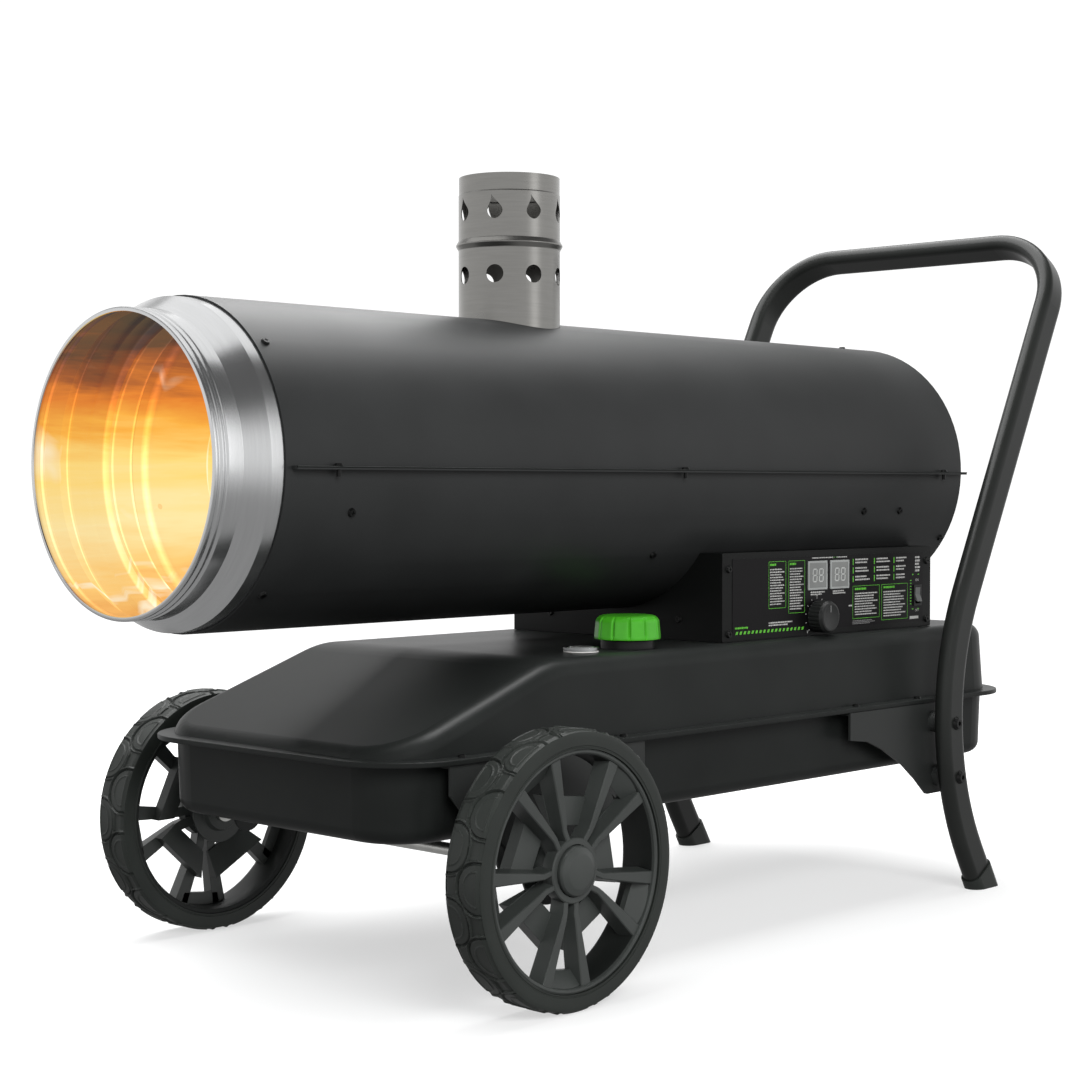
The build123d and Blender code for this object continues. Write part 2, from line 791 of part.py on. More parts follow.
with BuildPart() as pump_coupling:
    disc(across(shaft_start), coupling_radius, coupling_length)
    disc(across(shaft_start + coupling_length / 2), shaft_radius, coupling_length, Mode.SUBTRACT)
    disc(across(shaft_start), coupling_pin_radius, -pump_bore_depth)
save(pump_coupling, "pump_coupling")


# Pedestal housing: a floor, two end plates cut to the casing, a right wall and top lips
with BuildPart() as pedestal_housing:
    depth = pedestal_top_z - pedestal_floor_z
    mid = pedestal_from_front + pedestal_length / 2
    block(level(pedestal_floor_z, mid), pedestal_length, 2 * pedestal_half_width, depth)
    block(
        level(pedestal_floor_top_z, mid),
        pedestal_length - 2 * pedestal_sheet,
        2 * (pedestal_half_width - pedestal_sheet),
        depth - 2 * pedestal_sheet,
        Mode.SUBTRACT,
    )
    panel_mouth = side(-pedestal_half_width + pedestal_sheet, mid, pedestal_floor_top_z + 5)
    with BuildSketch(panel_mouth) as mouth:
        with Locations((0, (depth - 2 * pedestal_sheet - 10) / 2)):
            Rectangle(pedestal_length - 20, depth - 2 * pedestal_sheet - 10)
    extrude(mouth.sketch, amount=5, mode=Mode.SUBTRACT)
    disc(across(pedestal_from_front - 5), casing_radius + seat_gap, pedestal_length + 10, Mode.SUBTRACT)
    for spot in end_plate_screw_spots:
        hole = Plane(origin=(pedestal_x - 5, spot[0], spot[1]), x_dir=(0, 1, 0), z_dir=(1, 0, 0))
        disc(hole, screw_radius + bolt_gap, 10, Mode.SUBTRACT)
    fuel_pass = level(pedestal_floor_z - 5, pick_up_from_front, filter_y)
    disc(fuel_pass, line_radius + 2, 10, Mode.SUBTRACT)
    gland_hole = Plane(
        origin=(pedestal_x + pedestal_length - 5, gland_y, gland_z), x_dir=(0, 1, 0), z_dir=(1, 0, 0)
    )
    disc(gland_hole, gland_thread_radius + bolt_gap, 10, Mode.SUBTRACT)
    panel_screw_spots = []
    for distance in (panel_margin / 2 + 2.2, pedestal_length - panel_margin / 2 - 0.5):
        for z in panel_screw_heights:
            panel_screw_spots.append((pedestal_from_front + distance, z))
    for distance, z in panel_screw_spots:
        disc(side(panel_back_y + 5, distance, z), screw_radius + bolt_gap, 10, Mode.SUBTRACT)
save(pedestal_housing, "pedestal_housing")

with BuildPart() as control_panel:
    panel_height = pedestal_top_z - pedestal_floor_z
    panel_mid_z = (pedestal_top_z + pedestal_floor_z) / 2
    panel_mid = side(panel_back_y, pedestal_from_front + pedestal_length / 2, panel_mid_z)
    block(panel_mid, pedestal_length, panel_height, panel_sheet)
    fillet(edges().filter_by(Axis.Y), 2)
    for distance in window_from_front:
        opening = side(panel_back_y + 1, distance, window_z)
        block(opening, window_width + 2 * seat_gap, window_height + 2 * seat_gap, 5, Mode.SUBTRACT)
    disc(side(panel_back_y + 1, knob_from_front, knob_z), 4.5, 5, Mode.SUBTRACT)
    rocker_hole = side(panel_back_y + 1, rocker_from_front, rocker_z)
    block(rocker_hole, rocker_width + 3.2, rocker_height + 3.2, 5, Mode.SUBTRACT)
    for distance, z in panel_screw_spots:
        disc(side(panel_back_y + 1, distance, z), screw_radius + bolt_gap, 5, Mode.SUBTRACT)
save(control_panel, "control_panel")

with BuildPart() as panel_overlay:
    overlay_width = pedestal_length - 2 * panel_margin
    overlay_height = panel_height - 13
    overlay_mid = side(panel_front_y, pedestal_from_front + pedestal_length / 2, panel_mid_z)
    block(overlay_mid, overlay_width, overlay_height, overlay_sheet)
    for distance in window_from_front:
        opening = side(panel_front_y + 1, distance, window_z)
        block(opening, window_width + 2 * seat_gap, window_height + 2 * seat_gap, 5, Mode.SUBTRACT)
    disc(side(panel_front_y + 1, knob_from_front, knob_z), 5.0, 5, Mode.SUBTRACT)
    rocker_hole = side(panel_front_y + 1, rocker_from_front, rocker_z)
    block(rocker_hole, rocker_width + 3.2, rocker_height + 3.2, 5, Mode.SUBTRACT)
save(panel_overlay, "panel_overlay")

with BuildPart() as display_windows:
    window_thickness = panel_sheet + overlay_sheet + window_proud
    for distance in window_from_front:
        block(side(panel_back_y, distance, window_z), window_width, window_height, window_thickness)
    fillet(edges().filter_by(Axis.Y), 1)
save(display_windows, "display_windows")

with BuildPart() as panel_screws:
    for distance, z in panel_screw_spots:
        pan_screw(side(panel_front_y, distance, z), panel_sheet + pedestal_sheet + 5)
    for spot in end_plate_screw_spots:
        outside = Plane(origin=(pedestal_x, spot[0], spot[1]), x_dir=(0, 1, 0), z_dir=(-1, 0, 0))
        pan_screw(outside, pedestal_sheet + 5)
save(panel_screws, "panel_screws")


# Circuit board on four standoffs, with a display block behind each window
board_y = panel_back_y + board_gap
with BuildPart() as circuit_board:
    board_mid = (window_from_front[0] + window_from_front[1]) / 2 + 30
    block(side(board_y + board_sheet, board_mid, board_z), board_length, board_height, board_sheet)
    for distance in window_from_front:
        display = side(board_y, distance, window_z)
        block(display, window_width - 1, window_height - 2, board_gap - seat_gap)
    for step, relay_height in enumerate(relay_heights):
        relay_x = front + window_from_front[1] + 24 + relay_pitch * step
        relay_origin = (relay_x, board_y + board_sheet, board_z - 7)
        relay = Plane(origin=relay_origin, x_dir=(1, 0, 0), z_dir=(0, 1, 0))
        block(relay, 15, 24, relay_height)
    for distance in (board_mid - board_length / 2 + 7, board_mid + board_length / 2 - 7):
        for z in (board_z - board_height / 2 + 6, board_z + board_height / 2 - 5):
            disc(side(board_y, distance, z), spacer_radius, board_gap - seat_gap)
save(circuit_board, "circuit_board")


# Temperature knob on its potentiometer
knob_base_y = overlay_front_y - seat_gap
knob_bore_depth = potentiometer_shaft_length - panel_sheet - overlay_sheet
with BuildPart() as potentiometer:
    can = side(panel_back_y + potentiometer_depth, knob_from_front, knob_z)
    disc(can, potentiometer_radius, potentiometer_depth - seat_gap)
    bush = side(panel_back_y + 1, knob_from_front, knob_z)
    disc(bush, potentiometer_bush_radius, 1 + panel_sheet + overlay_sheet)
    stem = side(panel_back_y, knob_from_front, knob_z)
    disc(stem, potentiometer_shaft_radius, potentiometer_shaft_length)
save(potentiometer, "potentiometer")

with BuildPart() as control_knob:
    with BuildSketch(side(knob_base_y, knob_from_front, knob_z)):
        Circle(knob_radius)
        with PolarLocations(knob_radius + 0.4, knob_flutes):
            Circle(1.3, mode=Mode.SUBTRACT)
    extrude(amount=knob_length - knob_crown_height)
    crown_plane = side(knob_base_y - knob_length + knob_crown_height, knob_from_front, knob_z)
    with BuildSketch(crown_plane) as crown:
        Circle(knob_radius - 1.2)
    extrude(crown.sketch, amount=knob_crown_height, taper=20)
    knob_bore = side(knob_base_y, knob_from_front, knob_z)
    disc(knob_bore, potentiometer_shaft_radius + running_gap, knob_bore_depth, Mode.SUBTRACT)
save(control_knob, "control_knob")


# Rocker switch: a frame with two pin holes and a tilting cap on a pin
with BuildPart() as rocker_frame:
    frame_plane = side(panel_back_y + 10, rocker_from_front, rocker_z)
    bezel_plane = side(overlay_front_y, rocker_from_front, rocker_z)
    shell_width = rocker_width + 2 * rocker_frame_wall
    shell_height = rocker_height + 2 * rocker_frame_wall
    block(frame_plane, shell_width, shell_height, 10 + panel_sheet + overlay_sheet)
    block(bezel_plane, shell_width + 2 * rocker_bezel, shell_height + 2 * rocker_bezel, 1.4)
    block(frame_plane, rocker_width + 2 * seat_gap, rocker_height + 2 * seat_gap, 14, Mode.SUBTRACT)
    pin_plane = Plane(
        origin=(front + rocker_from_front - 10, panel_back_y + 2, rocker_z),
        x_dir=(0, 1, 0),
        z_dir=(1, 0, 0),
    )
    disc(pin_plane, rocker_pin_radius + running_gap, 20, Mode.SUBTRACT)
save(rocker_frame, "rocker_frame")

with BuildPart() as rocker_switch:
    cap_plane = Plane(
        origin=(front + rocker_from_front - rocker_width / 2, panel_back_y + 2, rocker_z),
        x_dir=(0, cos(radians(rocker_tilt)), -sin(radians(rocker_tilt))),
        z_dir=(1, 0, 0),
    )
    with BuildSketch(cap_plane):
        with BuildLine():
            reach = panel_sheet + overlay_sheet + 2 + 1.8
            Polyline(
                (3.0, 1.5),
                (-reach - 1.2, rocker_height / 2 - 0.9),
                (-reach + 0.6, 0),
                (-reach - 1.2, -rocker_height / 2 + 0.9),
                (3.0, -1.5),
                close=True,
            )
        make_face()
    extrude(amount=rocker_width)
    pin_start = Plane(
        origin=(front + rocker_from_front - rocker_width / 2 - 1.1, panel_back_y + 2, rocker_z),
        x_dir=(0, 1, 0),
        z_dir=(1, 0, 0),
    )
    disc(pin_start, rocker_pin_radius, rocker_width + 2.2)
save(rocker_switch, "rocker_switch")


# Electrical pieces in the pedestal and on the duct
with BuildPart() as ignition_transformer:
    transformer_base_z = pedestal_floor_top_z + seat_gap
    transformer_plane = level(transformer_base_z, transformer_from_front, transformer_y)
    block(transformer_plane, transformer_length, transformer_width, transformer_height)
    fillet(edges().filter_by(Axis.Z), 4)
    for shift in (-20, 20):
        terminal_z = transformer_base_z + transformer_height
        terminal = level(terminal_z, transformer_from_front + shift, transformer_y + 10)
        disc(terminal, 6, 8)
save(ignition_transformer, "ignition_transformer")

with BuildPart() as overheat_thermostat:
    thermostat_plane = radial(thermostat_from_front, -90, liner_radius + seat_gap)
    disc(thermostat_plane, thermostat_radius, duct_seat - liner_radius - 3 * seat_gap - 2)
    block(thermostat_plane, 3 * thermostat_radius, thermostat_radius, 2)
save(overheat_thermostat, "overheat_thermostat")

with BuildPart() as cable_gland:
    gland_plane = Plane(
        origin=(pedestal_x + pedestal_length + seat_gap, gland_y, gland_z), x_dir=(0, 1, 0), z_dir=(1, 0, 0)
    )
    with BuildSketch(gland_plane):
        RegularPolygon(gland_hexagon_radius, 6)
    extrude(amount=gland_nut_length)
    disc(gland_plane.offset(gland_nut_length), gland_hexagon_radius - 2, gland_head_length)
    chamfer(edges().filter_by(GeomType.CIRCLE).sort_by(Axis.X)[-1], 2)
    disc(gland_plane, gland_thread_radius, -12)
    disc(gland_plane.offset(-12), gland_bore_radius, 40, Mode.SUBTRACT)
save(cable_gland, "cable_gland")


# Fuel filter and fuel lines: from the tank's bottom to the filter and on to the pump
filter_z = pedestal_floor_top_z + filter_radius + seat_gap
with BuildPart() as fuel_filter:
    canister = Plane(origin=(front + filter_from_front, filter_y, filter_z), x_dir=(0, 1, 0), z_dir=(1, 0, 0))
    disc(canister, filter_radius, filter_length)
    chamfer(edges().filter_by(GeomType.CIRCLE), 3)
save(fuel_filter, "fuel_filter")

with BuildPart() as fuel_line:
    suction_points = [
        (front + pick_up_from_front, filter_y, tub_bottom_z + 12),
        (front + pick_up_from_front, filter_y, filter_z),
        (front + filter_from_front, filter_y, filter_z),
    ]
    with BuildLine() as suction_path:
        FilletPolyline(*suction_points, radius=7.5)
    with BuildSketch(Plane(origin=suction_points[0], z_dir=(0, 0, 1))):
        Circle(line_radius)
    sweep(path=suction_path.wire())
    pump_inlet = (front + pump_front + 20, 0, casing_axis_z - pump_side / 2 - seat_gap)
    delivery_points = [
        (front + filter_from_front + filter_length, filter_y, filter_z),
        (front + pump_front + 20, filter_y, filter_z),
        (front + pump_front + 20, 0, filter_z - 6),
        pump_inlet,
    ]
    with BuildLine() as delivery_path:
        FilletPolyline(*delivery_points, radius=line_bend_radius)
    with BuildSketch(Plane(origin=delivery_points[0], x_dir=(0, 1, 0), z_dir=(1, 0, 0))):
        Circle(line_radius)
    sweep(path=delivery_path.wire())
save(fuel_line, "fuel_line")


# Tank outline at the joint plane, drawn in from the flange's edge by an inset
def tank_outline(inset):
    length = tank_flange_rear - tank_flange_front - 2 * inset
    width = 2 * (tank_flange_half_width - inset)
    with Locations((front + (tank_flange_front + tank_flange_rear) / 2, 0)):
        RectangleRounded(length, width, tank_flange_corner - inset)


# Solid form of the lid, drawn in from its outer faces by an inset: drafted walls, a level top
# and a front that slopes down to a low nose
def lid_form(inset):
    foot_x = front + tank_flange_front + tank_flange_width
    foot_z = tank_joint_z + lid_nose_rise
    slope = atan2(lid_top_z - foot_z, lid_slope_end - tank_flange_front - tank_flange_width)
    sunk = inset / cos(slope)
    top = lid_top_z - inset
    crease = (front + lid_slope_end + (sunk - inset) / tan(slope), top)
    start = (foot_x - 60, foot_z - sunk - 60 * tan(slope))
    low_z = start[1] - 50
    rear_x = front + tank_flange_rear
    with BuildPart() as form:
        with BuildSketch(Plane.XY.offset(tank_joint_z)):
            tank_outline(tank_flange_width + inset)
        extrude(amount=top - tank_joint_z, taper=lid_draft)
        with BuildSketch(Plane.XZ.offset(-tank_flange_half_width)) as profile:
            with BuildLine():
                Polyline(start, crease, (rear_x, top), (rear_x, low_z), (start[0], low_z), close=True)
            make_face()
            crease_corner = profile.vertices().sort_by_distance((crease[0], crease[1], 0))[0]
            fillet(crease_corner, lid_crease_radius)
        extrude(amount=2 * tank_flange_half_width, mode=Mode.INTERSECT)
        walls = form.faces().filter_by(lambda face: abs(face.normal_at().Z) < 0.5)
        rims = walls.edges().filter_by(lambda edge: edge.center().Z > tank_joint_z + 1)
        rims = rims.filter_by(lambda edge: abs(edge.tangent_at(0.5).Z) < 0.6)
        fillet(rims, lid_edge_radius - inset)
    return form


# Solid form of the tub, drawn in from its outer faces by an inset
def tub_form(inset):
    with BuildPart() as form:
        with BuildSketch(Plane.XY.offset(tank_joint_z)):
            tank_outline(tub_inset + inset)
        extrude(amount=tub_bottom_z + inset - tank_joint_z, taper=tub_draft)
        fillet(form.faces().sort_by(Axis.Z)[0].edges(), tub_edge_radius - inset)
    return form


flange_screw_spots = []
for distance in flange_screw_distances:
    for y in (-flange_screw_y, flange_screw_y):
        flange_screw_spots.append((distance, y))

lid_outer = lid_form(0)
lid_inner = lid_form(tank_sheet)
with BuildPart() as tank_lid:
    with BuildSketch(Plane.XY.offset(tank_joint_z)):
        tank_outline(0)
    extrude(amount=tank_flange_sheet)
    fillet(tank_lid.faces().sort_by(Axis.Z)[-1].edges(), 1)
    add(lid_outer.part)
    add(lid_inner.part, mode=Mode.SUBTRACT)
    for distance, y in flange_screw_spots:
        disc(level(tank_joint_z - 1, distance, y), screw_radius + bolt_gap, 8, Mode.SUBTRACT)
    hole_z = lid_top_z - 10
    disc(level(hole_z, filler_from_front, filler_y), filler_spout_radius + seat_gap, 20, Mode.SUBTRACT)
    disc(level(hole_z, gauge_from_front, gauge_y), gauge_cup_radius + seat_gap, 20, Mode.SUBTRACT)
    disc(level(hole_z, pick_up_from_front, filter_y), line_radius + 1.5, 20, Mode.SUBTRACT)
save(tank_lid, "tank_lid")

tub_outer = tub_form(0)
tub_inner = tub_form(tank_sheet)
with BuildPart() as tank_tub:
    with BuildSketch(Plane.XY.offset(tank_joint_z)):
        tank_outline(0)
    extrude(amount=-tank_flange_sheet)
    fillet(tank_tub.faces().sort_by(Axis.Z)[0].edges(), 1)
    add(tub_outer.part)
    add(tub_inner.part, mode=Mode.SUBTRACT)
    for distance, y in flange_screw_spots:
        disc(level(tank_joint_z - 5, distance, y), screw_radius + bolt_gap, 8, Mode.SUBTRACT)
    disc(level(tub_bottom_z - 5, drain_from_front), drain_radius + bolt_gap, 12, Mode.SUBTRACT)
save(tank_tub, "tank_tub")

with BuildPart() as flange_screws:
    screw_reach = 2 * tank_flange_sheet + seat_gap + gusset_sheet + 3
    for distance, y in flange_screw_spots:
        pan_screw(level(tank_joint_z + tank_flange_sheet, distance, y), screw_reach)
save(flange_screws, "flange_screws")

with BuildPart() as drain_plug:
    with BuildSketch(level(tub_bottom_z - seat_gap, drain_from_front)):
        RegularPolygon(drain_radius + 4, 6)
    extrude(amount=-7)
    disc(level(tub_bottom_z - seat_gap, drain_from_front), drain_radius, 8)
save(drain_plug, "drain_plug")


# Filler: a neck that stands through the lid, a strainer hung in it, and a screw cap
collar_z = lid_top_z + seat_gap
collar_top_z = collar_z + filler_collar_height
spout_top_z = lid_top_z + filler_spout_height
spout_bore = filler_spout_radius - filler_wall
strainer_rim = 0.8
insert_top_z = spout_top_z + strainer_rim + seat_gap + insert_roof
insert_radius = filler_spout_radius + seat_gap + insert_wall
cap_bottom_z = collar_top_z + seat_gap
with BuildPart() as filler_neck:
    disc(level(collar_z, filler_from_front, filler_y), filler_collar_radius, filler_collar_height)
    fillet(edges().filter_by(GeomType.CIRCLE).sort_by(Axis.Z)[-1], 1.5)
    disc(
        level(lid_top_z - tank_sheet - 6, filler_from_front, filler_y),
        filler_spout_radius,
        spout_top_z - lid_top_z + tank_sheet + 6,
    )
    disc(level(lid_top_z - 20, filler_from_front, filler_y), spout_bore, 80, Mode.SUBTRACT)
save(filler_neck, "filler_neck")

with BuildPart() as filler_strainer:
    strainer_radius = spout_bore - seat_gap
    disc(level(spout_top_z, filler_from_front, filler_y), filler_spout_radius - 0.5, strainer_rim)
    disc(level(spout_top_z, filler_from_front, filler_y), strainer_radius, -strainer_depth)
    strainer_floor = level(spout_top_z - strainer_depth + strainer_rim, filler_from_front, filler_y)
    disc(strainer_floor, strainer_radius - strainer_rim, strainer_depth, Mode.SUBTRACT)
save(filler_strainer, "filler_strainer")

with BuildPart() as cap_insert:
    insert_base = level(cap_bottom_z, filler_from_front, filler_y)
    disc(insert_base, insert_radius, insert_top_z - cap_bottom_z)
    disc(insert_base, filler_spout_radius + seat_gap, insert_top_z - insert_roof - cap_bottom_z, Mode.SUBTRACT)
save(cap_insert, "cap_insert")

with BuildPart() as filler_cap:
    with BuildSketch(level(cap_bottom_z, filler_from_front, filler_y)):
        Circle(cap_radius)
        with PolarLocations(cap_radius + 2.6, cap_notches):
            Circle(4.2, mode=Mode.SUBTRACT)
    extrude(amount=cap_height, taper=cap_taper)
    cap_bore = level(cap_bottom_z, filler_from_front, filler_y)
    disc(cap_bore, insert_radius + running_gap, insert_top_z + seat_gap - cap_bottom_z, Mode.SUBTRACT)
save(filler_cap, "filler_cap")


# Fuel gauge: a cup through the lid, its dial, a bezel, a lens, a needle and the float below
gauge_flange_top = lid_top_z + seat_gap + 1.2
dial_z = lid_top_z - 3
float_pivot_z = lid_top_z - gauge_cup_depth + 4
needle_pin_radius = 0.8
float_pin_radius = 1.0
with BuildPart() as gauge_body:
    gauge_foot = level(lid_top_z - gauge_cup_depth, gauge_from_front, gauge_y)
    disc(gauge_foot, gauge_cup_radius, gauge_flange_top - lid_top_z + gauge_cup_depth)
    disc(level(lid_top_z + seat_gap, gauge_from_front, gauge_y), gauge_radius, 1.2)
    disc(level(dial_z, gauge_from_front, gauge_y), gauge_cup_radius - 1.5, 20, Mode.SUBTRACT)
    disc(gauge_foot, gauge_cup_radius - 1.5, gauge_cup_depth - 4.5, Mode.SUBTRACT)
    disc(gauge_foot, needle_pin_radius + running_gap, gauge_cup_depth, Mode.SUBTRACT)
    arm_slot = level(lid_top_z - gauge_cup_depth, gauge_from_front, gauge_y + gauge_cup_radius)
    block(arm_slot, 6, 2 * gauge_cup_radius - 4, 16, Mode.SUBTRACT)
    pivot_plane = Plane(
        origin=(front + gauge_from_front - gauge_cup_radius, gauge_y, float_pivot_z),
        x_dir=(0, 1, 0),
        z_dir=(1, 0, 0),
    )
    disc(pivot_plane, float_pin_radius + running_gap, 2 * gauge_cup_radius, Mode.SUBTRACT)
save(gauge_body, "gauge_body")

with BuildPart() as gauge_bezel:
    ring(level(gauge_flange_top, gauge_from_front, gauge_y), gauge_radius, gauge_radius - 3.5, 3.4)
    fillet(edges().filter_by(GeomType.CIRCLE).sort_by(Axis.Z)[-1], 1)
save(gauge_bezel, "gauge_bezel")

with BuildPart() as gauge_lens:
    lens_radius = gauge_radius - 3.5 - seat_gap
    disc(level(gauge_flange_top, gauge_from_front, gauge_y), lens_radius, 4)
    fillet(edges().filter_by(GeomType.CIRCLE).sort_by(Axis.Z)[-1], 2.5)
    disc(level(gauge_flange_top, gauge_from_front, gauge_y), lens_radius - 2, 2.2, Mode.SUBTRACT)
save(gauge_lens, "gauge_lens")

with BuildPart() as gauge_needle:
    disc(level(dial_z - 2.5, gauge_from_front, gauge_y), needle_pin_radius, 4.6)
    disc(level(dial_z + 0.6, gauge_from_front, gauge_y), 2.2, 1.5)
    block(level(dial_z + 0.9, gauge_from_front, gauge_y + 3), 1.4, 12, 0.8)
save(gauge_needle, "gauge_needle")

with BuildPart() as gauge_float:
    disc(pivot_plane.offset(0.4), float_pin_radius, 2 * gauge_cup_radius - 0.8)
    arm_plane = side(gauge_y, gauge_from_front, float_pivot_z)
    disc(arm_plane, 1.6, -float_arm_length)
    drum_plane = Plane(
        origin=(front + gauge_from_front - float_length / 2, gauge_y + float_arm_length, float_pivot_z),
        x_dir=(0, 1, 0),
        z_dir=(1, 0, 0),
    )
    disc(drum_plane, float_radius, float_length)
    fillet(edges().filter_by(GeomType.CIRCLE).group_by(SortBy.RADIUS)[-1], 3)
save(gauge_float, "gauge_float")


# Axle with a collar inside and a retainer outside each wheel, and the brackets under the flange
hub_inner_y = wheel_outer_y - wheel_width - 4
hub_outer_y = wheel_outer_y - hub_recess
flange_under_z = tank_joint_z - tank_flange_sheet - seat_gap
tub_half_width = tank_flange_half_width - tub_inset
with BuildPart() as axle:
    axle_end = hub_outer_y + seat_gap + 3
    disc(side(axle_end, axle_from_front, axle_z), axle_radius, 2 * axle_end)
    disc(side(-hub_outer_y - seat_gap, axle_from_front, axle_z), axle_radius + 5, 2.4)
    disc(side(seat_gap - hub_inner_y, axle_from_front, axle_z), axle_radius + 5, -3)
    mirror(about=Plane.XZ)
save(axle, "axle")

# Holes of the flange screws through what lies under the flange
def flange_screw_holes(start, end):
    for distance in flange_screw_distances:
        if start < distance < end:
            hole = level(flange_under_z - 2 * gusset_sheet, distance, -flange_screw_y)
            disc(hole, screw_radius + bolt_gap, 4 * gusset_sheet, Mode.SUBTRACT)


with BuildPart() as axle_brackets:
    bracket_start = axle_from_front - 76
    bracket_end = axle_from_front + 184
    with BuildSketch(side(-bracket_plate_y)):
        with BuildLine():
            Polyline(
                (bracket_start, flange_under_z),
                (bracket_start, flange_under_z - 27),
                (axle_from_front - bracket_boss_radius, axle_z),
                (axle_from_front, axle_z - bracket_boss_radius),
                (axle_from_front + bracket_boss_radius, axle_z),
                (bracket_end, flange_under_z - 60),
                (bracket_end, flange_under_z),
                close=True,
            )
        make_face()
        with Locations((axle_from_front, axle_z)):
            Circle(bracket_boss_radius)
            Circle(axle_radius + seat_gap, mode=Mode.SUBTRACT)
    extrude(amount=gusset_sheet)
    shelf_width = bracket_plate_y + gusset_sheet - tub_half_width - 2
    shelf_y = shelf_width / 2 - bracket_plate_y - gusset_sheet
    shelf = level(flange_under_z, (bracket_start + bracket_end) / 2, shelf_y)
    block(shelf, bracket_end - bracket_start, shelf_width, -gusset_sheet)
    flange_screw_holes(bracket_start, bracket_end)
    mirror(about=Plane.XZ)
save(axle_brackets, "axle_brackets")


# Solid of revolution about the axle at -Y from points given as depth behind the wheel's face and radius
def wheel_turning(points, mode=Mode.ADD):
    face_plane = Plane(origin=(axle_x, -wheel_outer_y, axle_z), x_dir=(0, 1, 0), z_dir=(1, 0, 0))
    with BuildSketch(face_plane) as section:
        with BuildLine():
            Polyline(*points, close=True)
        make_face()
    revolve(section.sketch, axis=Axis((axle_x, 0, axle_z), (0, 1, 0)), mode=mode)


# Tyre: a solid rubber ring with rounded pads that reach in from both edges by turns
with BuildPart() as tyre_left:
    pad_length = pad_share * 2 * pi * wheel_radius / tread_pads
    for step in range(2 * tread_pads):
        turn = pi * step / tread_pads
        outward = (cos(turn), 0, sin(turn))
        inward = 1 if step % 2 else -1
        edge_y = -wheel_outer_y if step % 2 else wheel_width - wheel_outer_y
        start = (axle_x + tyre_inner_radius * cos(turn), edge_y, axle_z + tyre_inner_radius * sin(turn))
        with BuildSketch(Plane(origin=start, x_dir=(0, inward, 0), z_dir=outward)) as pad:
            with Locations((pad_reach / 2, 0)):
                Rectangle(pad_reach, pad_length)
            fillet(pad.vertices().group_by(Axis.X)[-1], pad_length / 3)
        extrude(pad.sketch, amount=2 * (wheel_radius - tyre_inner_radius))
    wheel_turning(
        (
            (0, tyre_inner_radius),
            (0, wheel_radius - tyre_chamfer),
            (tyre_chamfer, wheel_radius),
            (wheel_width - tyre_chamfer, wheel_radius),
            (wheel_width, wheel_radius - tyre_chamfer),
            (wheel_width, tyre_inner_radius),
        ),
        Mode.INTERSECT,
    )
    carcass_radius = wheel_radius - tread_depth
    wheel_turning(
        (
            (0, tyre_inner_radius),
            (0, wheel_radius - tyre_chamfer - tread_depth),
            (tyre_chamfer, carcass_radius),
            (wheel_width - tyre_chamfer, carcass_radius),
            (wheel_width, wheel_radius - tyre_chamfer - tread_depth),
            (wheel_width, tyre_inner_radius),
        )
    )
save(tyre_left, "tyre_left")

# Rim: an outer ring, five pairs of spokes that part towards it, a recessed web and the hub
with BuildPart() as rim_left:
    rim_outer = tyre_inner_radius - seat_gap
    rim_inner = rim_outer - rim_ring_sheet
    arm_back = spoke_front_recess + spoke_depth
    wheel_turning(((2, rim_outer), (2, rim_inner), (wheel_width - 2, rim_inner), (wheel_width - 2, rim_outer)))
    spoke_plane = side(arm_back - wheel_outer_y, axle_from_front, axle_z)
    with BuildSketch(spoke_plane) as arms:
        for pair in range(spoke_pairs):
            with Locations(Location((0, 0, 0), (0, 0, spoke_pair_phase + 360 * pair / spoke_pairs))):
                for turned in (1, -1):
                    Polygon(
                        (hub_radius, turned * spoke_root_gap / 2),
                        (hub_radius, turned * (spoke_root_gap / 2 + spoke_width)),
                        (rim_inner + 1, turned * (spoke_tip_gap / 2 + spoke_width)),
                        (rim_inner + 1, turned * spoke_tip_gap / 2),
                        align=None,
                    )
    extrude(arms.sketch, amount=spoke_depth)
    with BuildSketch(spoke_plane) as webs:
        Circle(web_radius)
        for pair in range(spoke_pairs):
            with Locations(Location((0, 0, 0), (0, 0, spoke_pair_phase + 360 * pair / spoke_pairs))):
                with Locations((web_radius / 2 + hub_flange_radius / 2, 0)):
                    slot_length = web_radius - hub_flange_radius
                    Rectangle(slot_length, spoke_root_gap + 2, mode=Mode.SUBTRACT)
                with Locations((rim_inner - 4, 0)):
                    Rectangle(10, spoke_tip_gap)
    extrude(webs.sketch, amount=3)
    hub_length = wheel_outer_y - hub_flange_depth - hub_inner_y
    disc(side(-hub_inner_y, axle_from_front, axle_z), hub_radius, hub_length)
    disc(side(hub_flange_depth + 8 - wheel_outer_y, axle_from_front, axle_z), hub_flange_radius, 8)
    cap_seat = side(hub_flange_depth - wheel_outer_y, axle_from_front, axle_z)
    disc(cap_seat, hubcap_radius + seat_gap, 20, Mode.SUBTRACT)
    hub_face = side(-hub_outer_y, axle_from_front, axle_z)
    disc(hub_face, hub_recess_radius, 20, Mode.SUBTRACT)
    disc(side(0, axle_from_front, axle_z), axle_radius + running_gap, wheel_outer_y, Mode.SUBTRACT)
save(rim_left, "rim_left")

with BuildPart() as hubcap_left:
    plug_radius = hub_recess_radius - seat_gap
    wheel_turning(
        (
            (hub_flange_depth - seat_gap, hubcap_radius),
            (3, hubcap_radius),
            (0, hubcap_radius - 2),
            (-hubcap_proud, hubcap_radius - 6.5),
            (-hubcap_proud, 0),
            (2 - hubcap_proud, 0),
            (2 - hubcap_proud, plug_radius - 2.5),
            (hub_recess - seat_gap, plug_radius - 2.5),
            (hub_recess - seat_gap, plug_radius),
            (hub_flange_depth - seat_gap, plug_radius),
        )
    )
save(hubcap_left, "hubcap_left")

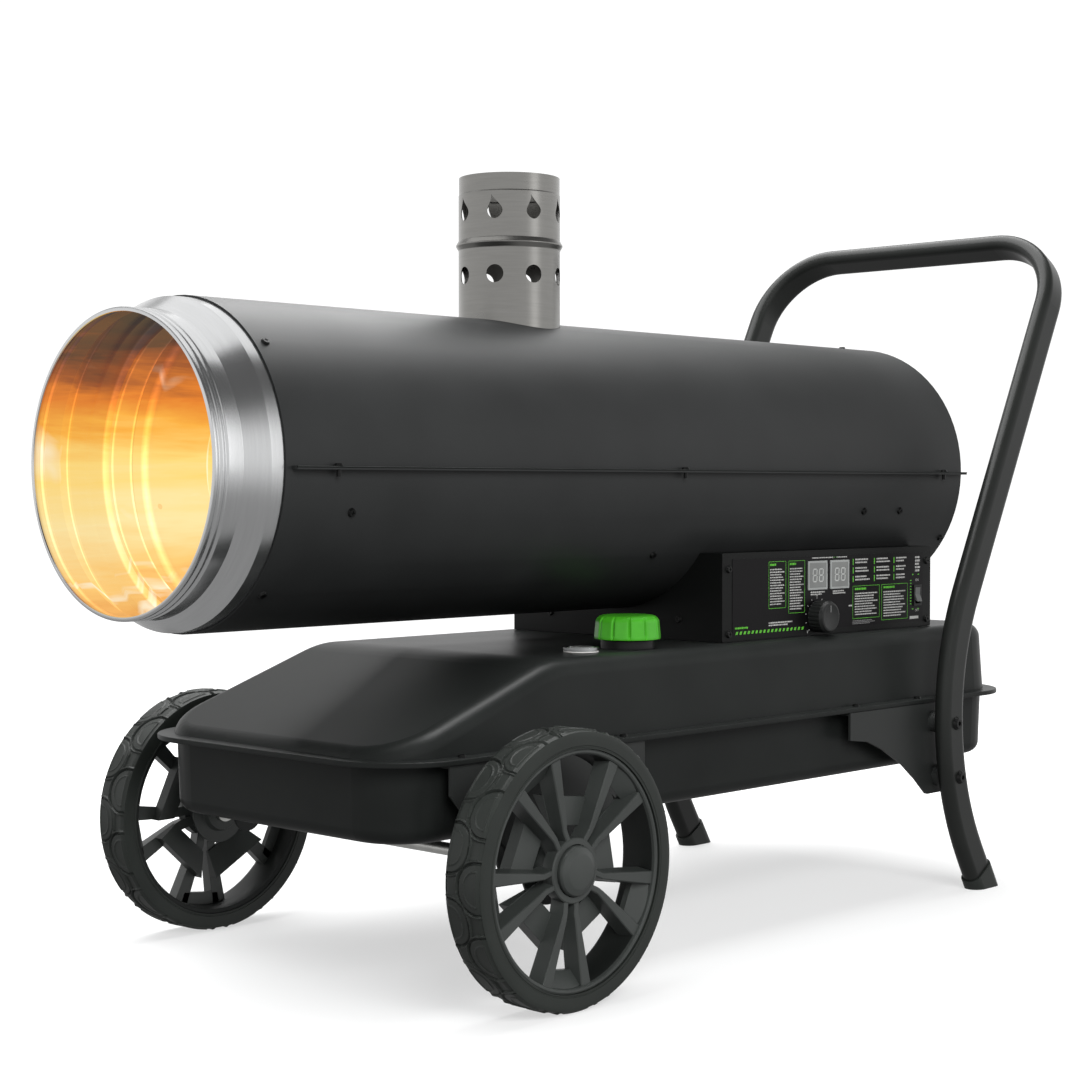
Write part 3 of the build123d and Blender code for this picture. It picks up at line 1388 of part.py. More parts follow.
with BuildPart() as tyre_right:
    mirror(tyre_left.part, about=Plane.XZ)
save(tyre_right, "tyre_right")

with BuildPart() as rim_right:
    mirror(rim_left.part, about=Plane.XZ)
save(rim_right, "rim_right")

with BuildPart() as hubcap_right:
    mirror(hubcap_left.part, about=Plane.XZ)
save(hubcap_right, "hubcap_right")


# Handle: the path runs up one leg, round the grip bar and down the other leg
lower_lean = radians(leg_lower_lean)
upper_lean = radians(leg_upper_lean)
foot_plane = Plane(
    origin=(front + leg_foot_from_front, -leg_y, 0),
    x_dir=(cos(lower_lean), 0, sin(lower_lean)),
    z_dir=(-sin(lower_lean), 0, cos(lower_lean)),
)
leg_start = foot_plane.offset(-tube_wide)
leg_corner = (front + leg_corner_from_front, -leg_y, leg_corner_z)
bar_corner = (front + bar_from_front, -leg_y, handle_bar_z)
bend_centre_reach = leg_bend_radius / cos((lower_lean + upper_lean) / 2)
bend_tilt = (upper_lean - lower_lean) / 2
bend_centre_x = leg_corner_from_front + bend_centre_reach * cos(bend_tilt)
bend_centre_z = leg_corner_z - bend_centre_reach * sin(bend_tilt)


# Distance of the leg's centre line from the front, at a height within its long bend
def leg_from_front(z):
    return bend_centre_x - sqrt(leg_bend_radius**2 - (z - bend_centre_z) ** 2)


handle_bolt_spots = [(leg_from_front(z), z) for z in handle_bolt_heights]

with BuildPart() as handle_frame:
    with BuildLine() as bend_line:
        leg_foot = tuple(leg_start.origin)
        FilletPolyline(
            leg_foot,
            leg_corner,
            bar_corner,
            (bar_corner[0], leg_y, handle_bar_z),
            (leg_corner[0], leg_y, leg_corner_z),
            (leg_foot[0], leg_y, leg_foot[2]),
            radius=[leg_bend_radius, bar_bend_radius, bar_bend_radius, leg_bend_radius],
        )
    with BuildSketch(leg_start) as tube_outside:
        SlotOverall(tube_wide, tube_thick)
    sweep(tube_outside.sketch, path=bend_line.wire())
    with BuildSketch(leg_start) as tube_inside:
        SlotOverall(tube_wide - 2 * tube_wall, tube_thick - 2 * tube_wall)
    sweep(tube_inside.sketch, path=bend_line.wire(), mode=Mode.SUBTRACT)
    split(bisect_by=Plane.XY.offset(foot_floor + seat_gap), keep=Keep.TOP)
    for distance, z in handle_bolt_spots:
        bolt_hole = side(leg_y + tube_thick, distance, z)
        disc(bolt_hole, handle_bolt_radius + bolt_gap, 2 * (leg_y + tube_thick), Mode.SUBTRACT)
save(handle_frame, "handle_frame")

with BuildPart() as leg_end:
    with BuildSketch(leg_start):
        SlotOverall(tube_wide + 2 * seat_gap, tube_thick + 2 * seat_gap)
    extrude(amount=3 * tube_wide)
    split(bisect_by=Plane.XY.offset(foot_floor), keep=Keep.TOP)

with BuildPart() as foot_caps:
    with BuildSketch(leg_start):
        sleeve = 2 * (foot_sleeve + seat_gap)
        SlotOverall(tube_wide + sleeve, tube_thick + sleeve)
    extrude(amount=tube_wide + foot_height)
    split(bisect_by=Plane.XY, keep=Keep.TOP)
    add(leg_end.part, mode=Mode.SUBTRACT)
    mirror(about=Plane.XZ)
save(foot_caps, "foot_caps")

# Gusset plates that join the legs to the tank's flange, with bosses out to the legs
with BuildPart() as gusset_brackets:
    upper_x, upper_z = handle_bolt_spots[0]
    lower_x, lower_z = handle_bolt_spots[1]
    gusset_start = upper_x - 162
    gusset_end = lower_x + 30
    with BuildSketch(side(-gusset_plate_y)) as gusset:
        with BuildLine():
            Polyline(
                (gusset_start, flange_under_z),
                (gusset_start, upper_z - 8),
                (upper_x - 130, upper_z - 12),
                (upper_x - 101, upper_z - 23),
                (lower_x - 70, lower_z + 18),
                (lower_x - 44, lower_z - 1),
                (lower_x - 22, lower_z - 20),
                (lower_x + 16, lower_z - 20),
                (gusset_end, lower_z + 6),
                (gusset_end, flange_under_z),
                close=True,
            )
        make_face()
        fillet(gusset.vertices().group_by(Axis.Y)[0], 8)
    extrude(amount=gusset_sheet)
    shelf_width = gusset_plate_y + gusset_sheet - tub_half_width - 2
    shelf_y = shelf_width / 2 - gusset_plate_y - gusset_sheet
    shelf = level(flange_under_z, (gusset_start + gusset_end) / 2, shelf_y)
    block(shelf, gusset_end - gusset_start, shelf_width, -gusset_sheet)
    boss_length = leg_y - tube_thick / 2 - seat_gap - gusset_plate_y - gusset_sheet
    for distance, z in handle_bolt_spots:
        disc(side(-gusset_plate_y - gusset_sheet, distance, z), gusset_boss_radius, boss_length)
    for distance, z in handle_bolt_spots:
        disc(side(0, distance, z), handle_bolt_radius + bolt_gap, leg_y, Mode.SUBTRACT)
    flange_screw_holes(gusset_start, gusset_end)
    mirror(about=Plane.XZ)
save(gusset_brackets, "gusset_brackets")

# Button-headed bolts through legs and gussets, each with its nut inside
with BuildPart() as handle_bolts:
    nut_height = 1.2 * handle_bolt_radius
    nut_outer_y = seat_gap - gusset_plate_y
    for distance, z in handle_bolt_spots:
        head_plane = side(-leg_y - tube_thick / 2 - seat_gap, distance, z)
        shank_length = leg_y + tube_thick / 2 + 2 * seat_gap - gusset_plate_y + nut_height + 1
        disc(head_plane, handle_bolt_radius, -shank_length)
        with BuildSketch(head_plane) as button:
            Circle(1.9 * handle_bolt_radius)
        extrude(button.sketch, amount=handle_bolt_radius, taper=30)
        with BuildSketch(head_plane.offset(handle_bolt_radius - 2)) as socket:
            RegularPolygon(0.7 * handle_bolt_radius, 6)
        extrude(socket.sketch, amount=2, mode=Mode.SUBTRACT)
        with BuildSketch(side(nut_outer_y, distance, z)) as nut:
            RegularPolygon(1.8 * handle_bolt_radius, 6)
            Circle(handle_bolt_radius + running_gap, mode=Mode.SUBTRACT)
        extrude(nut.sketch, amount=-nut_height)
    mirror(about=Plane.XZ)
save(handle_bolts, "handle_bolts")
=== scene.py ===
import math

import bmesh
import bpy
import numpy as np
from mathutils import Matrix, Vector


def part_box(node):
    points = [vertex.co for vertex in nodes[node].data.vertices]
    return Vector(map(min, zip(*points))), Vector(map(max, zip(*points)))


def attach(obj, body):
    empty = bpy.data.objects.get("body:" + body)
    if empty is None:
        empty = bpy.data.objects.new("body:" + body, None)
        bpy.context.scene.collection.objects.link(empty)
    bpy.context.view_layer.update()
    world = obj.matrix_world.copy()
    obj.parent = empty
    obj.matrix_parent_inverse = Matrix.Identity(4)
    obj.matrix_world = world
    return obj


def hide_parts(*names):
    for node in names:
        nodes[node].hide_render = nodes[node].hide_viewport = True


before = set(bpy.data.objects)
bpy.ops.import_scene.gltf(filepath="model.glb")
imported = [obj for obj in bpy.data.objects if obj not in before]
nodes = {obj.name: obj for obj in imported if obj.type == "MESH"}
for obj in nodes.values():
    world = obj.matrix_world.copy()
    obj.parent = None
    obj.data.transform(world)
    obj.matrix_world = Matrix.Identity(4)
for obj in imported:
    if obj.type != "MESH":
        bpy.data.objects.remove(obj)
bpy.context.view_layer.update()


def stage(text):
    print("stage:", text)


def middle(name):
    low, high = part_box(name)
    return (low + high) / 2


stage("frame loaded")

# Places read from the frame, in metres
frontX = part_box("casing_upper")[0].x
axisZ = middle("outlet_ring").z
axleX, _, axleZ = middle("tyre_left")
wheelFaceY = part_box("tyre_left")[0].y
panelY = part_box("panel_overlay")[0].y

mergeReach = 1e-6


def joinGrids(grids):
    # Each grid is points of shape u by v by 3 with its wraps; quads join each point to its neighbours
    points, faces, owners, start = [], [], [], 0
    for order, (grid, wrapU, wrapV) in enumerate(grids):
        countU, countV = grid.shape[:2]
        index = np.arange(countU * countV).reshape(countU, countV) + start
        if wrapU:
            index = np.vstack([index, index[:1]])
        if wrapV:
            index = np.hstack([index, index[:, :1]])
        quads = np.stack([index[:-1, :-1], index[1:, :-1], index[1:, 1:], index[:-1, 1:]], axis=-1)
        points.append(grid.reshape(-1, 3))
        faces.append(quads.reshape(-1, 4))
        owners.append(np.full(len(faces[-1]), order))
        start += countU * countV
    return np.concatenate(points), np.concatenate(faces), np.concatenate(owners)


def addObject(name, data):
    thing = bpy.data.objects.new(name, data)
    bpy.context.scene.collection.objects.link(thing)
    return thing


def addPiece(name, mesh, materials, body):
    piece = addObject(name, mesh)
    for material in materials:
        mesh.materials.append(paint[material])
    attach(piece, body)
    return piece


def makePiece(name, grids, body, materials, sharp, which=None):
    # Joined grids become one mesh; equal points merge, faces turn outwards, edges past the angle stay sharp
    points, faces, owners = joinGrids(grids)
    mesh = bpy.data.meshes.new(name)
    mesh.from_pydata(points.tolist(), [], faces.tolist())
    if which is not None:
        mesh.polygons.foreach_set("material_index", np.asarray(which)[owners])
    work = bmesh.new()
    work.from_mesh(mesh)
    bmesh.ops.remove_doubles(work, verts=work.verts, dist=mergeReach)
    bmesh.ops.dissolve_degenerate(work, edges=work.edges, dist=mergeReach)
    bmesh.ops.recalc_face_normals(work, faces=work.faces)
    work.to_mesh(mesh)
    work.free()
    mesh.polygons.foreach_set("use_smooth", np.ones(len(mesh.polygons), bool))
    mesh.set_sharp_from_angle(angle=math.radians(sharp))
    return addPiece(name, mesh, materials if isinstance(materials, list) else [materials], body)


def addBevel(piece, width, segments=2, angle=35.0):
    modifier = piece.modifiers.new("edgeRounding", "BEVEL")
    modifier.width = width
    modifier.segments = segments
    modifier.limit_method = "ANGLE"
    modifier.angle_limit = math.radians(angle)
    modifier.harden_normals = True


def soften(name, width):
    # A CAD node's loose triangles are welded, then its sharp edges are rounded
    weld = nodes[name].modifiers.new("weld", "WELD")
    weld.merge_threshold = mergeReach
    addBevel(nodes[name], width)


def roundedPath(corners, radius, steps=5):
    # The inner corners of a path become arcs: each arc starts and ends one tangent length from its corner
    corners = np.array(corners, float)
    out = []
    for place, corner in enumerate(corners):
        if place in (0, len(corners) - 1):
            out.append(corner[None])
            continue
        back = corners[place - 1] - corner
        ahead = corners[place + 1] - corner
        backLength, aheadLength = np.linalg.norm(back), np.linalg.norm(ahead)
        back, ahead = back / backLength, ahead / aheadLength
        half = math.acos(np.clip(back @ ahead, -1, 1)) / 2
        if half > math.pi / 2 - 0.01:
            out.append(corner[None])
            continue
        reach = min(radius / math.tan(half), 0.49 * backLength, 0.49 * aheadLength)
        fitted = reach * math.tan(half)
        bisector = (back + ahead) / np.linalg.norm(back + ahead)
        centre = corner + bisector * fitted / math.sin(half)
        first, last = corner + back * reach - centre, corner + ahead * reach - centre
        turn = math.pi - 2 * half
        share = np.linspace(0, 1, steps + 1)[:, None]
        arc = (np.sin((1 - share) * turn) * first + np.sin(share * turn) * last) / math.sin(turn)
        out.append(centre + arc)
    return np.concatenate(out)


def turned(profile, centre, axis, segments, wave=None):
    # Profile points (along, radius) carried round an axis: u is the angle, v the place on the profile,
    # and wave adds a height to the radius from angle, place along the axis and radius
    profile = np.array(profile, float)
    angle = np.linspace(0, 2 * math.pi, segments, endpoint=False)[:, None]
    along = np.broadcast_to(profile[None, :, 0], (segments, len(profile)))
    radius = np.broadcast_to(profile[None, :, 1], (segments, len(profile)))
    if wave is not None:
        radius = radius + wave(angle, along, radius)
    first, second = radius * np.cos(angle), radius * np.sin(angle)
    order = {"x": (along, first, second), "y": (second, along, first), "z": (first, second, along)}[axis]
    return np.stack(order, axis=-1) + np.array(centre, float)


def smooth(value, low, high):
    # Smooth step: 0 below low, 1 above high, with level ends
    share = np.clip((value - low) / (high - low), 0, 1)
    return share * share * (3 - 2 * share)


def closed(grid):
    # Rows of points with a pole before the first and after the last, each in the middle of its row
    poles = [np.repeat(row.mean(0)[None], len(row), 0)[None] for row in (grid[0], grid[-1])]
    return np.concatenate([poles[0], grid, poles[1]]), False, True


def slab(corners):
    # Eight corners: four round one end and four round the other
    return closed(np.array(corners, float).reshape(2, 4, 3))


def mirrored(grids):
    flip = np.array([1.0, -1.0, 1.0])
    return [(grid * flip, wrapU, wrapV) for grid, wrapU, wrapV in grids]


# Materials: small builders of node trees
def newMaterial(name):
    material = bpy.data.materials.new(name)
    material.use_nodes = True
    tree = material.node_tree
    return material, tree, tree.nodes["Principled BSDF"]


def feed(tree, node, inputs):
    # A value that is a socket is linked, and any other is set
    for name, value in inputs.items():
        if isinstance(value, bpy.types.NodeSocket):
            tree.links.new(value, node.inputs[name])
        else:
            node.inputs[name].default_value = value
    return node.outputs


def newNode(tree, kind, inputs, **settings):
    # The settings come first, because some decide which inputs a node has
    made = tree.nodes.new("ShaderNode" + kind)
    for name, value in settings.items():
        setattr(made, name, value)
    return feed(tree, made, inputs)


def objectCoordinates(tree, scale=(1, 1, 1), shift=(0, 0, 0)):
    place = newNode(tree, "TexCoord", {})["Object"]
    return newNode(tree, "Mapping", {"Vector": place, "Scale": scale, "Location": shift})["Vector"]


def noise(tree, vector, scale, detail=3.0, roughness=0.5, distortion=0.0):
    inputs = {"Vector": vector, "Scale": scale, "Detail": detail, "Roughness": roughness,
              "Distortion": distortion}
    return newNode(tree, "TexNoise", inputs)["Fac"]


def ramp(tree, factor, stops):
    made = tree.nodes.new("ShaderNodeValToRGB")
    while len(made.color_ramp.elements) < len(stops):
        made.color_ramp.elements.new(0.5)
    for element, (place, colour) in zip(made.color_ramp.elements, stops):
        element.position = place
        element.color = (*colour, 1)
    return feed(tree, made, {"Fac": factor})["Color"]


def toRange(tree, factor, low, high, fromLow=0.0, fromHigh=1.0):
    inputs = {"Value": factor, "From Min": fromLow, "From Max": fromHigh, "To Min": low, "To Max": high}
    return newNode(tree, "MapRange", inputs)["Result"]


def calculate(tree, operation, first, second):
    return newNode(tree, "Math", {0: first, 1: second}, operation=operation)["Value"]


def mixColours(tree, blend, factor, first, second):
    inputs = {"Factor": factor, "A": first, "B": second}
    return newNode(tree, "Mix", inputs, data_type="RGBA", blend_type=blend)["Result"]


def lengthOf(tree, vector):
    return newNode(tree, "VectorMath", {0: vector}, operation="LENGTH")["Value"]


def separate(tree, vector):
    return newNode(tree, "SeparateXYZ", {"Vector": vector})


def bump(tree, height, strength, distance):
    return newNode(tree, "Bump", {"Height": height, "Strength": strength, "Distance": distance})["Normal"]


def coated(name, tone, roughness, specular=0.3, grain=0.2, grainScale=900.0, cloudScale=12.0):
    # Powder coat or moulded plastic: a fine grain in the surface, faint clouds in tone and gloss
    material, tree, shader = newMaterial(name)
    place = objectCoordinates(tree)
    cloud = noise(tree, place, cloudScale, 4.0)
    texture = noise(tree, place, grainScale, 2.0, 0.6)
    low = tuple(channel * 0.88 for channel in tone)
    high = tuple(channel * 1.14 for channel in tone)
    feed(tree, shader, {
        "Base Color": ramp(tree, cloud, [(0.3, low), (0.7, high)]),
        "Roughness": toRange(tree, cloud, roughness - 0.04, roughness + 0.05),
        "Normal": bump(tree, texture, grain, 0.0003), "Specular IOR Level": specular,
    })
    return material


def brushed(name, tone, roughness, stretch=(1, 1, 1), strength=0.12, fine=60.0, spread=0.09):
    # Brushed or rolled metal: noise stretched along the brushing varies tone, gloss and height
    material, tree, shader = newMaterial(name)
    lines = noise(tree, objectCoordinates(tree, stretch), fine, 5.0, 0.7)
    cloud = noise(tree, objectCoordinates(tree), 9.0, 3.0)
    low = tuple(channel * (1 - spread) for channel in tone)
    high = tuple(min(1.0, channel * (1 + spread)) for channel in tone)
    feed(tree, shader, {
        "Base Color": ramp(tree, lines, [(0.35, low), (0.65, high)]),
        "Roughness": toRange(tree, cloud, roughness - 0.04, roughness + 0.08),
        "Normal": bump(tree, lines, strength, 0.0002), "Metallic": 1.0,
    })
    return material


def lensGlass():
    material, tree, shader = newMaterial("lensGlass")
    haze = noise(tree, objectCoordinates(tree), 40.0, 2.0)
    feed(tree, shader, {"Base Color": (0.93, 0.95, 0.94, 1), "Transmission Weight": 0.85, "IOR": 1.46,
                        "Roughness": toRange(tree, haze, 0.04, 0.12)})
    return material


# Firelight in the duct: bands by height, blown sideways by stretched noise, with soft pale flames
fire = {
    "stops": [
        (0.00, (0.34, 0.12, 0.035)),
        (0.07, (0.85, 0.40, 0.10)),
        (0.17, (1.0, 0.60, 0.18)),
        (0.32, (1.0, 0.80, 0.38)),
        (0.48, (1.0, 0.70, 0.20)),
        (0.61, (0.95, 0.44, 0.06)),
        (0.71, (0.78, 0.22, 0.03)),
        (0.80, (0.34, 0.09, 0.028)),
        (0.89, (0.10, 0.045, 0.03)),
        (1.00, (0.045, 0.036, 0.032)),
    ],
    "radius": 0.148, "fadeBefore": 0.02, "fadeAfter": 0.03,
    # A noise is its scale, detail, roughness and distortion
    "bandStretch": (3.0, 6.0, 26.0), "bandNoise": (1.6, 5.0, 0.6, 0.3), "bandReach": 0.34,
    "flame": (1.0, 0.90, 0.66, 1), "flameStretch": (5.0, 26.0, 4.0), "flameShift": (0.37, 0.21, 0.05),
    "flameNoise": (1.5, 3.0, 0.45, 1.1), "flameEdge": (0.60, 0.72), "flameTop": (0.55, 0.85),
    "flameMost": 0.85,
}


def firelit(name, strength, lift, stepHighlightShade=None, depth=None):
    material, tree, shader = newMaterial(name)
    split = separate(tree, objectCoordinates(tree))
    bottom, top = axisZ - fire["radius"], axisZ + fire["radius"]
    height = toRange(tree, split["Z"], lift, 1.0 + lift, bottom, top)
    bands = noise(tree, objectCoordinates(tree, fire["bandStretch"]), *fire["bandNoise"])
    shifted = calculate(tree, "MULTIPLY", calculate(tree, "SUBTRACT", bands, 0.5), fire["bandReach"])
    colour = ramp(tree, calculate(tree, "ADD", height, shifted), fire["stops"])
    flamePlace = objectCoordinates(tree, fire["flameStretch"], fire["flameShift"])
    flames = noise(tree, flamePlace, *fire["flameNoise"])
    veil = toRange(tree, flames, 0.0, fire["flameMost"], *fire["flameEdge"])
    below = toRange(tree, height, 1.0, 0.0, *fire["flameTop"])
    colour = mixColours(tree, "MIX", calculate(tree, "MULTIPLY", veil, below), colour, fire["flame"])
    if stepHighlightShade:
        # Painted highlight and shade lines where the sheet is stepped, by distance from the front
        along = toRange(tree, split["X"], 0.0, 1.0, stepHighlightShade["start"], stepHighlightShade["end"])
        colour = mixColours(tree, "MULTIPLY", 1.0, colour, ramp(tree, along, stepHighlightShade["stops"]))
    feed(tree, shader, {"Base Color": (0.02, 0.014, 0.010, 1), "Specular IOR Level": 0.25, "Roughness": 0.4,
                        "Emission Color": colour, "Emission Strength": strength})
    if depth is not None:
        # Only the end that faces the outlet glows
        fadeEnds = (depth - fire["fadeBefore"], depth + fire["fadeAfter"])
        feed(tree, shader, {"Emission Strength": toRange(tree, split["X"], strength, 0.0, *fadeEnds)})
    return material


# Painted highlight and shade lines at the sheets' steps: distance from the casing's front edge, half width
# and tone
paintedStepLight = {
    # bright is a painted highlight and dark is painted shade, both multiplied into the glow
    "bright": (1.6, 1.6, 1.7), "dark": (0.55, 0.45, 0.4),
    "linerEnds": (0.0, 0.1),
    "liner": [(0.026, 0.0020, "bright"), (0.047, 0.0018, "bright"), (0.0535, 0.0035, "dark"),
              (0.067, 0.0020, "bright")],
    "ringEnds": (-0.064, 0.024),
    "ring": [(-0.0605, 0.0022, "dark"), (-0.0525, 0.0014, "bright"), (-0.0190, 0.0022, "bright"),
             (0.0205, 0.0022, "bright")],
}


def paintedStepStops(sheet):
    # Stops of a ramp that is 1 but for the sheet's painted highlight and shade lines
    start, end = paintedStepLight[sheet + "Ends"]
    stops = [(0.0, (1, 1, 1))]
    for distance, half, tone in paintedStepLight[sheet]:
        place = (distance - start) / (end - start)
        reach = half / (end - start)
        stops += [(place - reach, (1, 1, 1)), (place, paintedStepLight[tone]), (place + reach, (1, 1, 1))]
    return {"start": frontX + start, "end": frontX + end, "stops": stops}


# The duct's screw holes, by distance from the casing's front edge and from the axis
ductHoles = {"centre": 0.086, "reach": (0.018, 0.022), "radius": (0.1489, 0.1494), "tone": (1.0, 0.66, 0.26)}


def glowInside(material, strength):
    # What shows through the duct's holes near its front is lit by the fire: emission close to the axis only
    tree = material.node_tree
    radius = lengthOf(tree, objectCoordinates(tree, (0, 1, 1), (0, 0, -axisZ)))
    inside = toRange(tree, radius, strength, 0.0, *ductHoles["radius"])
    along = separate(tree, objectCoordinates(tree))["X"]
    offset = calculate(tree, "SUBTRACT", along, frontX + ductHoles["centre"])
    near = toRange(tree, calculate(tree, "ABSOLUTE", offset, 0.0), 1.0, 0.0, *ductHoles["reach"])
    feed(tree, tree.nodes["Principled BSDF"], {
        "Emission Color": (*ductHoles["tone"], 1),
        "Emission Strength": calculate(tree, "MULTIPLY", inside, near),
    })


# Tone, roughness, and where they differ specular, grain, grain scale and cloud scale
coats = {
    "casingPaint": ((0.0155, 0.0163, 0.0164), 0.46, 0.25),
    "tankPaint": ((0.0102, 0.0113, 0.0108), 0.38, 0.10, 0.14),
    "framePaint": ((0.0120, 0.0131, 0.0122), 0.32, 0.23, 0.15),
    "bracketPaint": ((0.0036, 0.0039, 0.0038), 0.45, 0.15),
    "gussetPaint": ((0.0180, 0.0194, 0.0187), 0.42, 0.24),
    "screwPaint": ((0.0040, 0.0042, 0.0041), 0.32, 0.2, 0.1),
    "tyreRubber": ((0.0150, 0.0176, 0.0156), 0.48, 0.30, 0.35, 1500.0, 22.0),
    # A darker copy of the rim plastic: painted shade for the rim's barrel
    "rimShade": ((0.0085, 0.0096, 0.0090), 0.50, 0.2, 0.3, 1700.0, 22.0),
    "rimPlastic": ((0.0310, 0.0345, 0.0325), 0.38, 0.42, 0.3, 1700.0, 22.0),
    "knobPlastic": ((0.0100, 0.0106, 0.0104), 0.40, 0.32, 0.25, 1700.0, 30.0),
    "blackPlastic": ((0.0070, 0.0073, 0.0072), 0.42, 0.28, 0.25, 1700.0, 30.0),
    "capPlastic": ((0.046, 0.30, 0.013), 0.36, 0.4, 0.15, 1500.0, 30.0),
    "motorPaint": ((0.045, 0.05, 0.055), 0.45),
    "overlayFilm": ((0.0030, 0.0026, 0.0031), 0.42, 0.12, 0.1, 2500.0, 30.0),
    "windowTint": ((0.135, 0.14, 0.136), 0.2, 0.5, 0.03, 400.0, 30.0),
    "rockerGrey": ((0.085, 0.088, 0.086), 0.35, 0.4, 0.1, 1500.0, 40.0),
    "windowFrame": ((0.24, 0.25, 0.245), 0.3, 0.5, 0.05, 400.0, 30.0),
    "digitTone": ((0.36, 0.37, 0.36), 0.3, 0.4, 0.03, 400.0, 30.0),
    "dialWhite": ((0.50, 0.50, 0.48), 0.35, 0.4, 0.05),
    "pointerRed": ((0.5, 0.03, 0.02), 0.35, 0.4, 0.05),
    "porcelain": ((0.75, 0.72, 0.66), 0.2, 0.5, 0.05),
    "boardResin": ((0.02, 0.12, 0.05), 0.3, 0.5, 0.1),
    "printWhite": ((0.36, 0.36, 0.35), 0.5, 0.2, 0.05, 900.0, 60.0),
    "printGrey": ((0.16, 0.16, 0.16), 0.5, 0.2, 0.05, 900.0, 60.0),
    "printGreen": ((0.085, 0.36, 0.03), 0.5, 0.2, 0.05, 900.0, 60.0),
}
# Tone, roughness, and where they differ stretch, strength, fineness and spread
sheens = {
    "zincSteel": ((0.56, 0.56, 0.54), 0.36),
    "chromeSteel": ((0.42, 0.43, 0.43), 0.2, (1, 1, 1), 0.05),
    "ringSteel": ((0.62, 0.625, 0.63), 0.21, (7, 0.25, 0.25), 0.004, 60.0, 0.03),
    "flueSteel": ((0.25, 0.246, 0.235), 0.26, (0.4, 0.4, 8), 0.02, 60.0, 0.05),
    "brassMetal": ((0.72, 0.52, 0.22), 0.3),
    "castAluminium": ((0.6, 0.61, 0.62), 0.5, (1, 1, 1), 0.5),
}
# Strength, lift, step lines and the depth where the glow ends
glows = {
    "ductGlow": (1.0, -0.02, paintedStepStops("liner")),
    "ringGlow": (0.92, 0.02, paintedStepStops("ring")),
    "chamberGlow": (1.0, -0.06, None, frontX + 0.17),
    "bracketGlow": (0.9, -0.02, None, frontX + 0.22),
}
paint = {}
for maker, table in ((coated, coats), (brushed, sheens), (firelit, glows)):
    for name, settings in table.items():
        paint[name] = maker(name, *settings)
glowInside(paint["screwPaint"], 0.75)
glowInside(paint["casingPaint"], 0.95)
paint["lensGlass"] = lensGlass()

finishes = [
    ("casingPaint", ["casing_upper", "casing_lower"]),
    ("tankPaint", ["tank_lid", "tank_tub"]),
    ("framePaint", ["handle_frame"]),
    ("gussetPaint", ["gusset_brackets", "axle_brackets"]),
    ("bracketPaint", ["pedestal_housing", "control_panel", "motor_bracket", "fan_guard"]),
    ("screwPaint", ["casing_screws", "flange_screws", "panel_screws", "handle_bolts"]),
    ("rimPlastic", ["rim_left", "rim_right", "hubcap_left", "hubcap_right"]),
    ("tyreRubber", ["tyre_left", "tyre_right", "foot_caps"]),
    ("knobPlastic", ["control_knob"]),
    ("blackPlastic", ["rocker_frame", "fan", "pump_coupling", "ignition_transformer", "filler_neck",
                      "gauge_float", "cable_gland"]),
    ("windowFrame", ["display_windows"]),
    ("rockerGrey", ["rocker_switch"]),
    ("capPlastic", ["filler_cap", "cap_insert"]),
    ("motorPaint", ["motor"]),
    ("zincSteel", ["axle", "motor_shaft", "drain_plug", "burner_tube", "turbulator",
                   "potentiometer", "filler_strainer", "fuel_line"]),
    ("chromeSteel", ["gauge_bezel"]),
    ("ringSteel", ["outlet_ring"]),
    ("ductGlow", ["inner_duct"]),
    ("chamberGlow", ["combustion_chamber", "heat_exchanger"]),
    ("bracketGlow", ["exchanger_brackets"]),
    ("flueSteel", ["flue_pipe"]),
    ("brassMetal", ["nozzle"]),
    ("castAluminium", ["fuel_pump", "overheat_thermostat"]),
    ("porcelain", ["electrodes"]),
    ("boardResin", ["circuit_board"]),
    ("overlayFilm", ["panel_overlay"]),
    ("dialWhite", ["gauge_body"]),
    ("pointerRed", ["gauge_needle", "fuel_filter"]),
    ("lensGlass", ["gauge_lens"]),
]
for material, names in finishes:
    for name in names:
        nodes[name].data.materials.clear()
        nodes[name].data.materials.append(paint[material])

softened = {
    "pedestal_housing": 0.0006,
    "control_panel": 0.0004,
    "gusset_brackets": 0.0006,
    "axle_brackets": 0.0006,
    "foot_caps": 0.0008,
    "rocker_frame": 0.0004,
    "display_windows": 0.0003,
}
for name, width in softened.items():
    soften(name, width)
stage("finishes")

# Tyre: a ring whose tread has D-shaped pads from both edges by turns and a double ridge that winds between
tyre = {
    "outer": 0.125, "base": 0.1224, "inner": 0.1075, "width": 0.043, "chamfer": 0.0026, "bead": 0.1092,
    "pads": 12, "padLength": 0.0425, "padReach": 0.0250, "corner": 0.0195, "inlayInset": 0.0062,
    "inlayEdge": 0.0042, "padRise": 0.0016, "inlayRise": 0.0007, "ridgeRise": 0.0026,
    "segments": 1020, "treadSteps": 58,
}


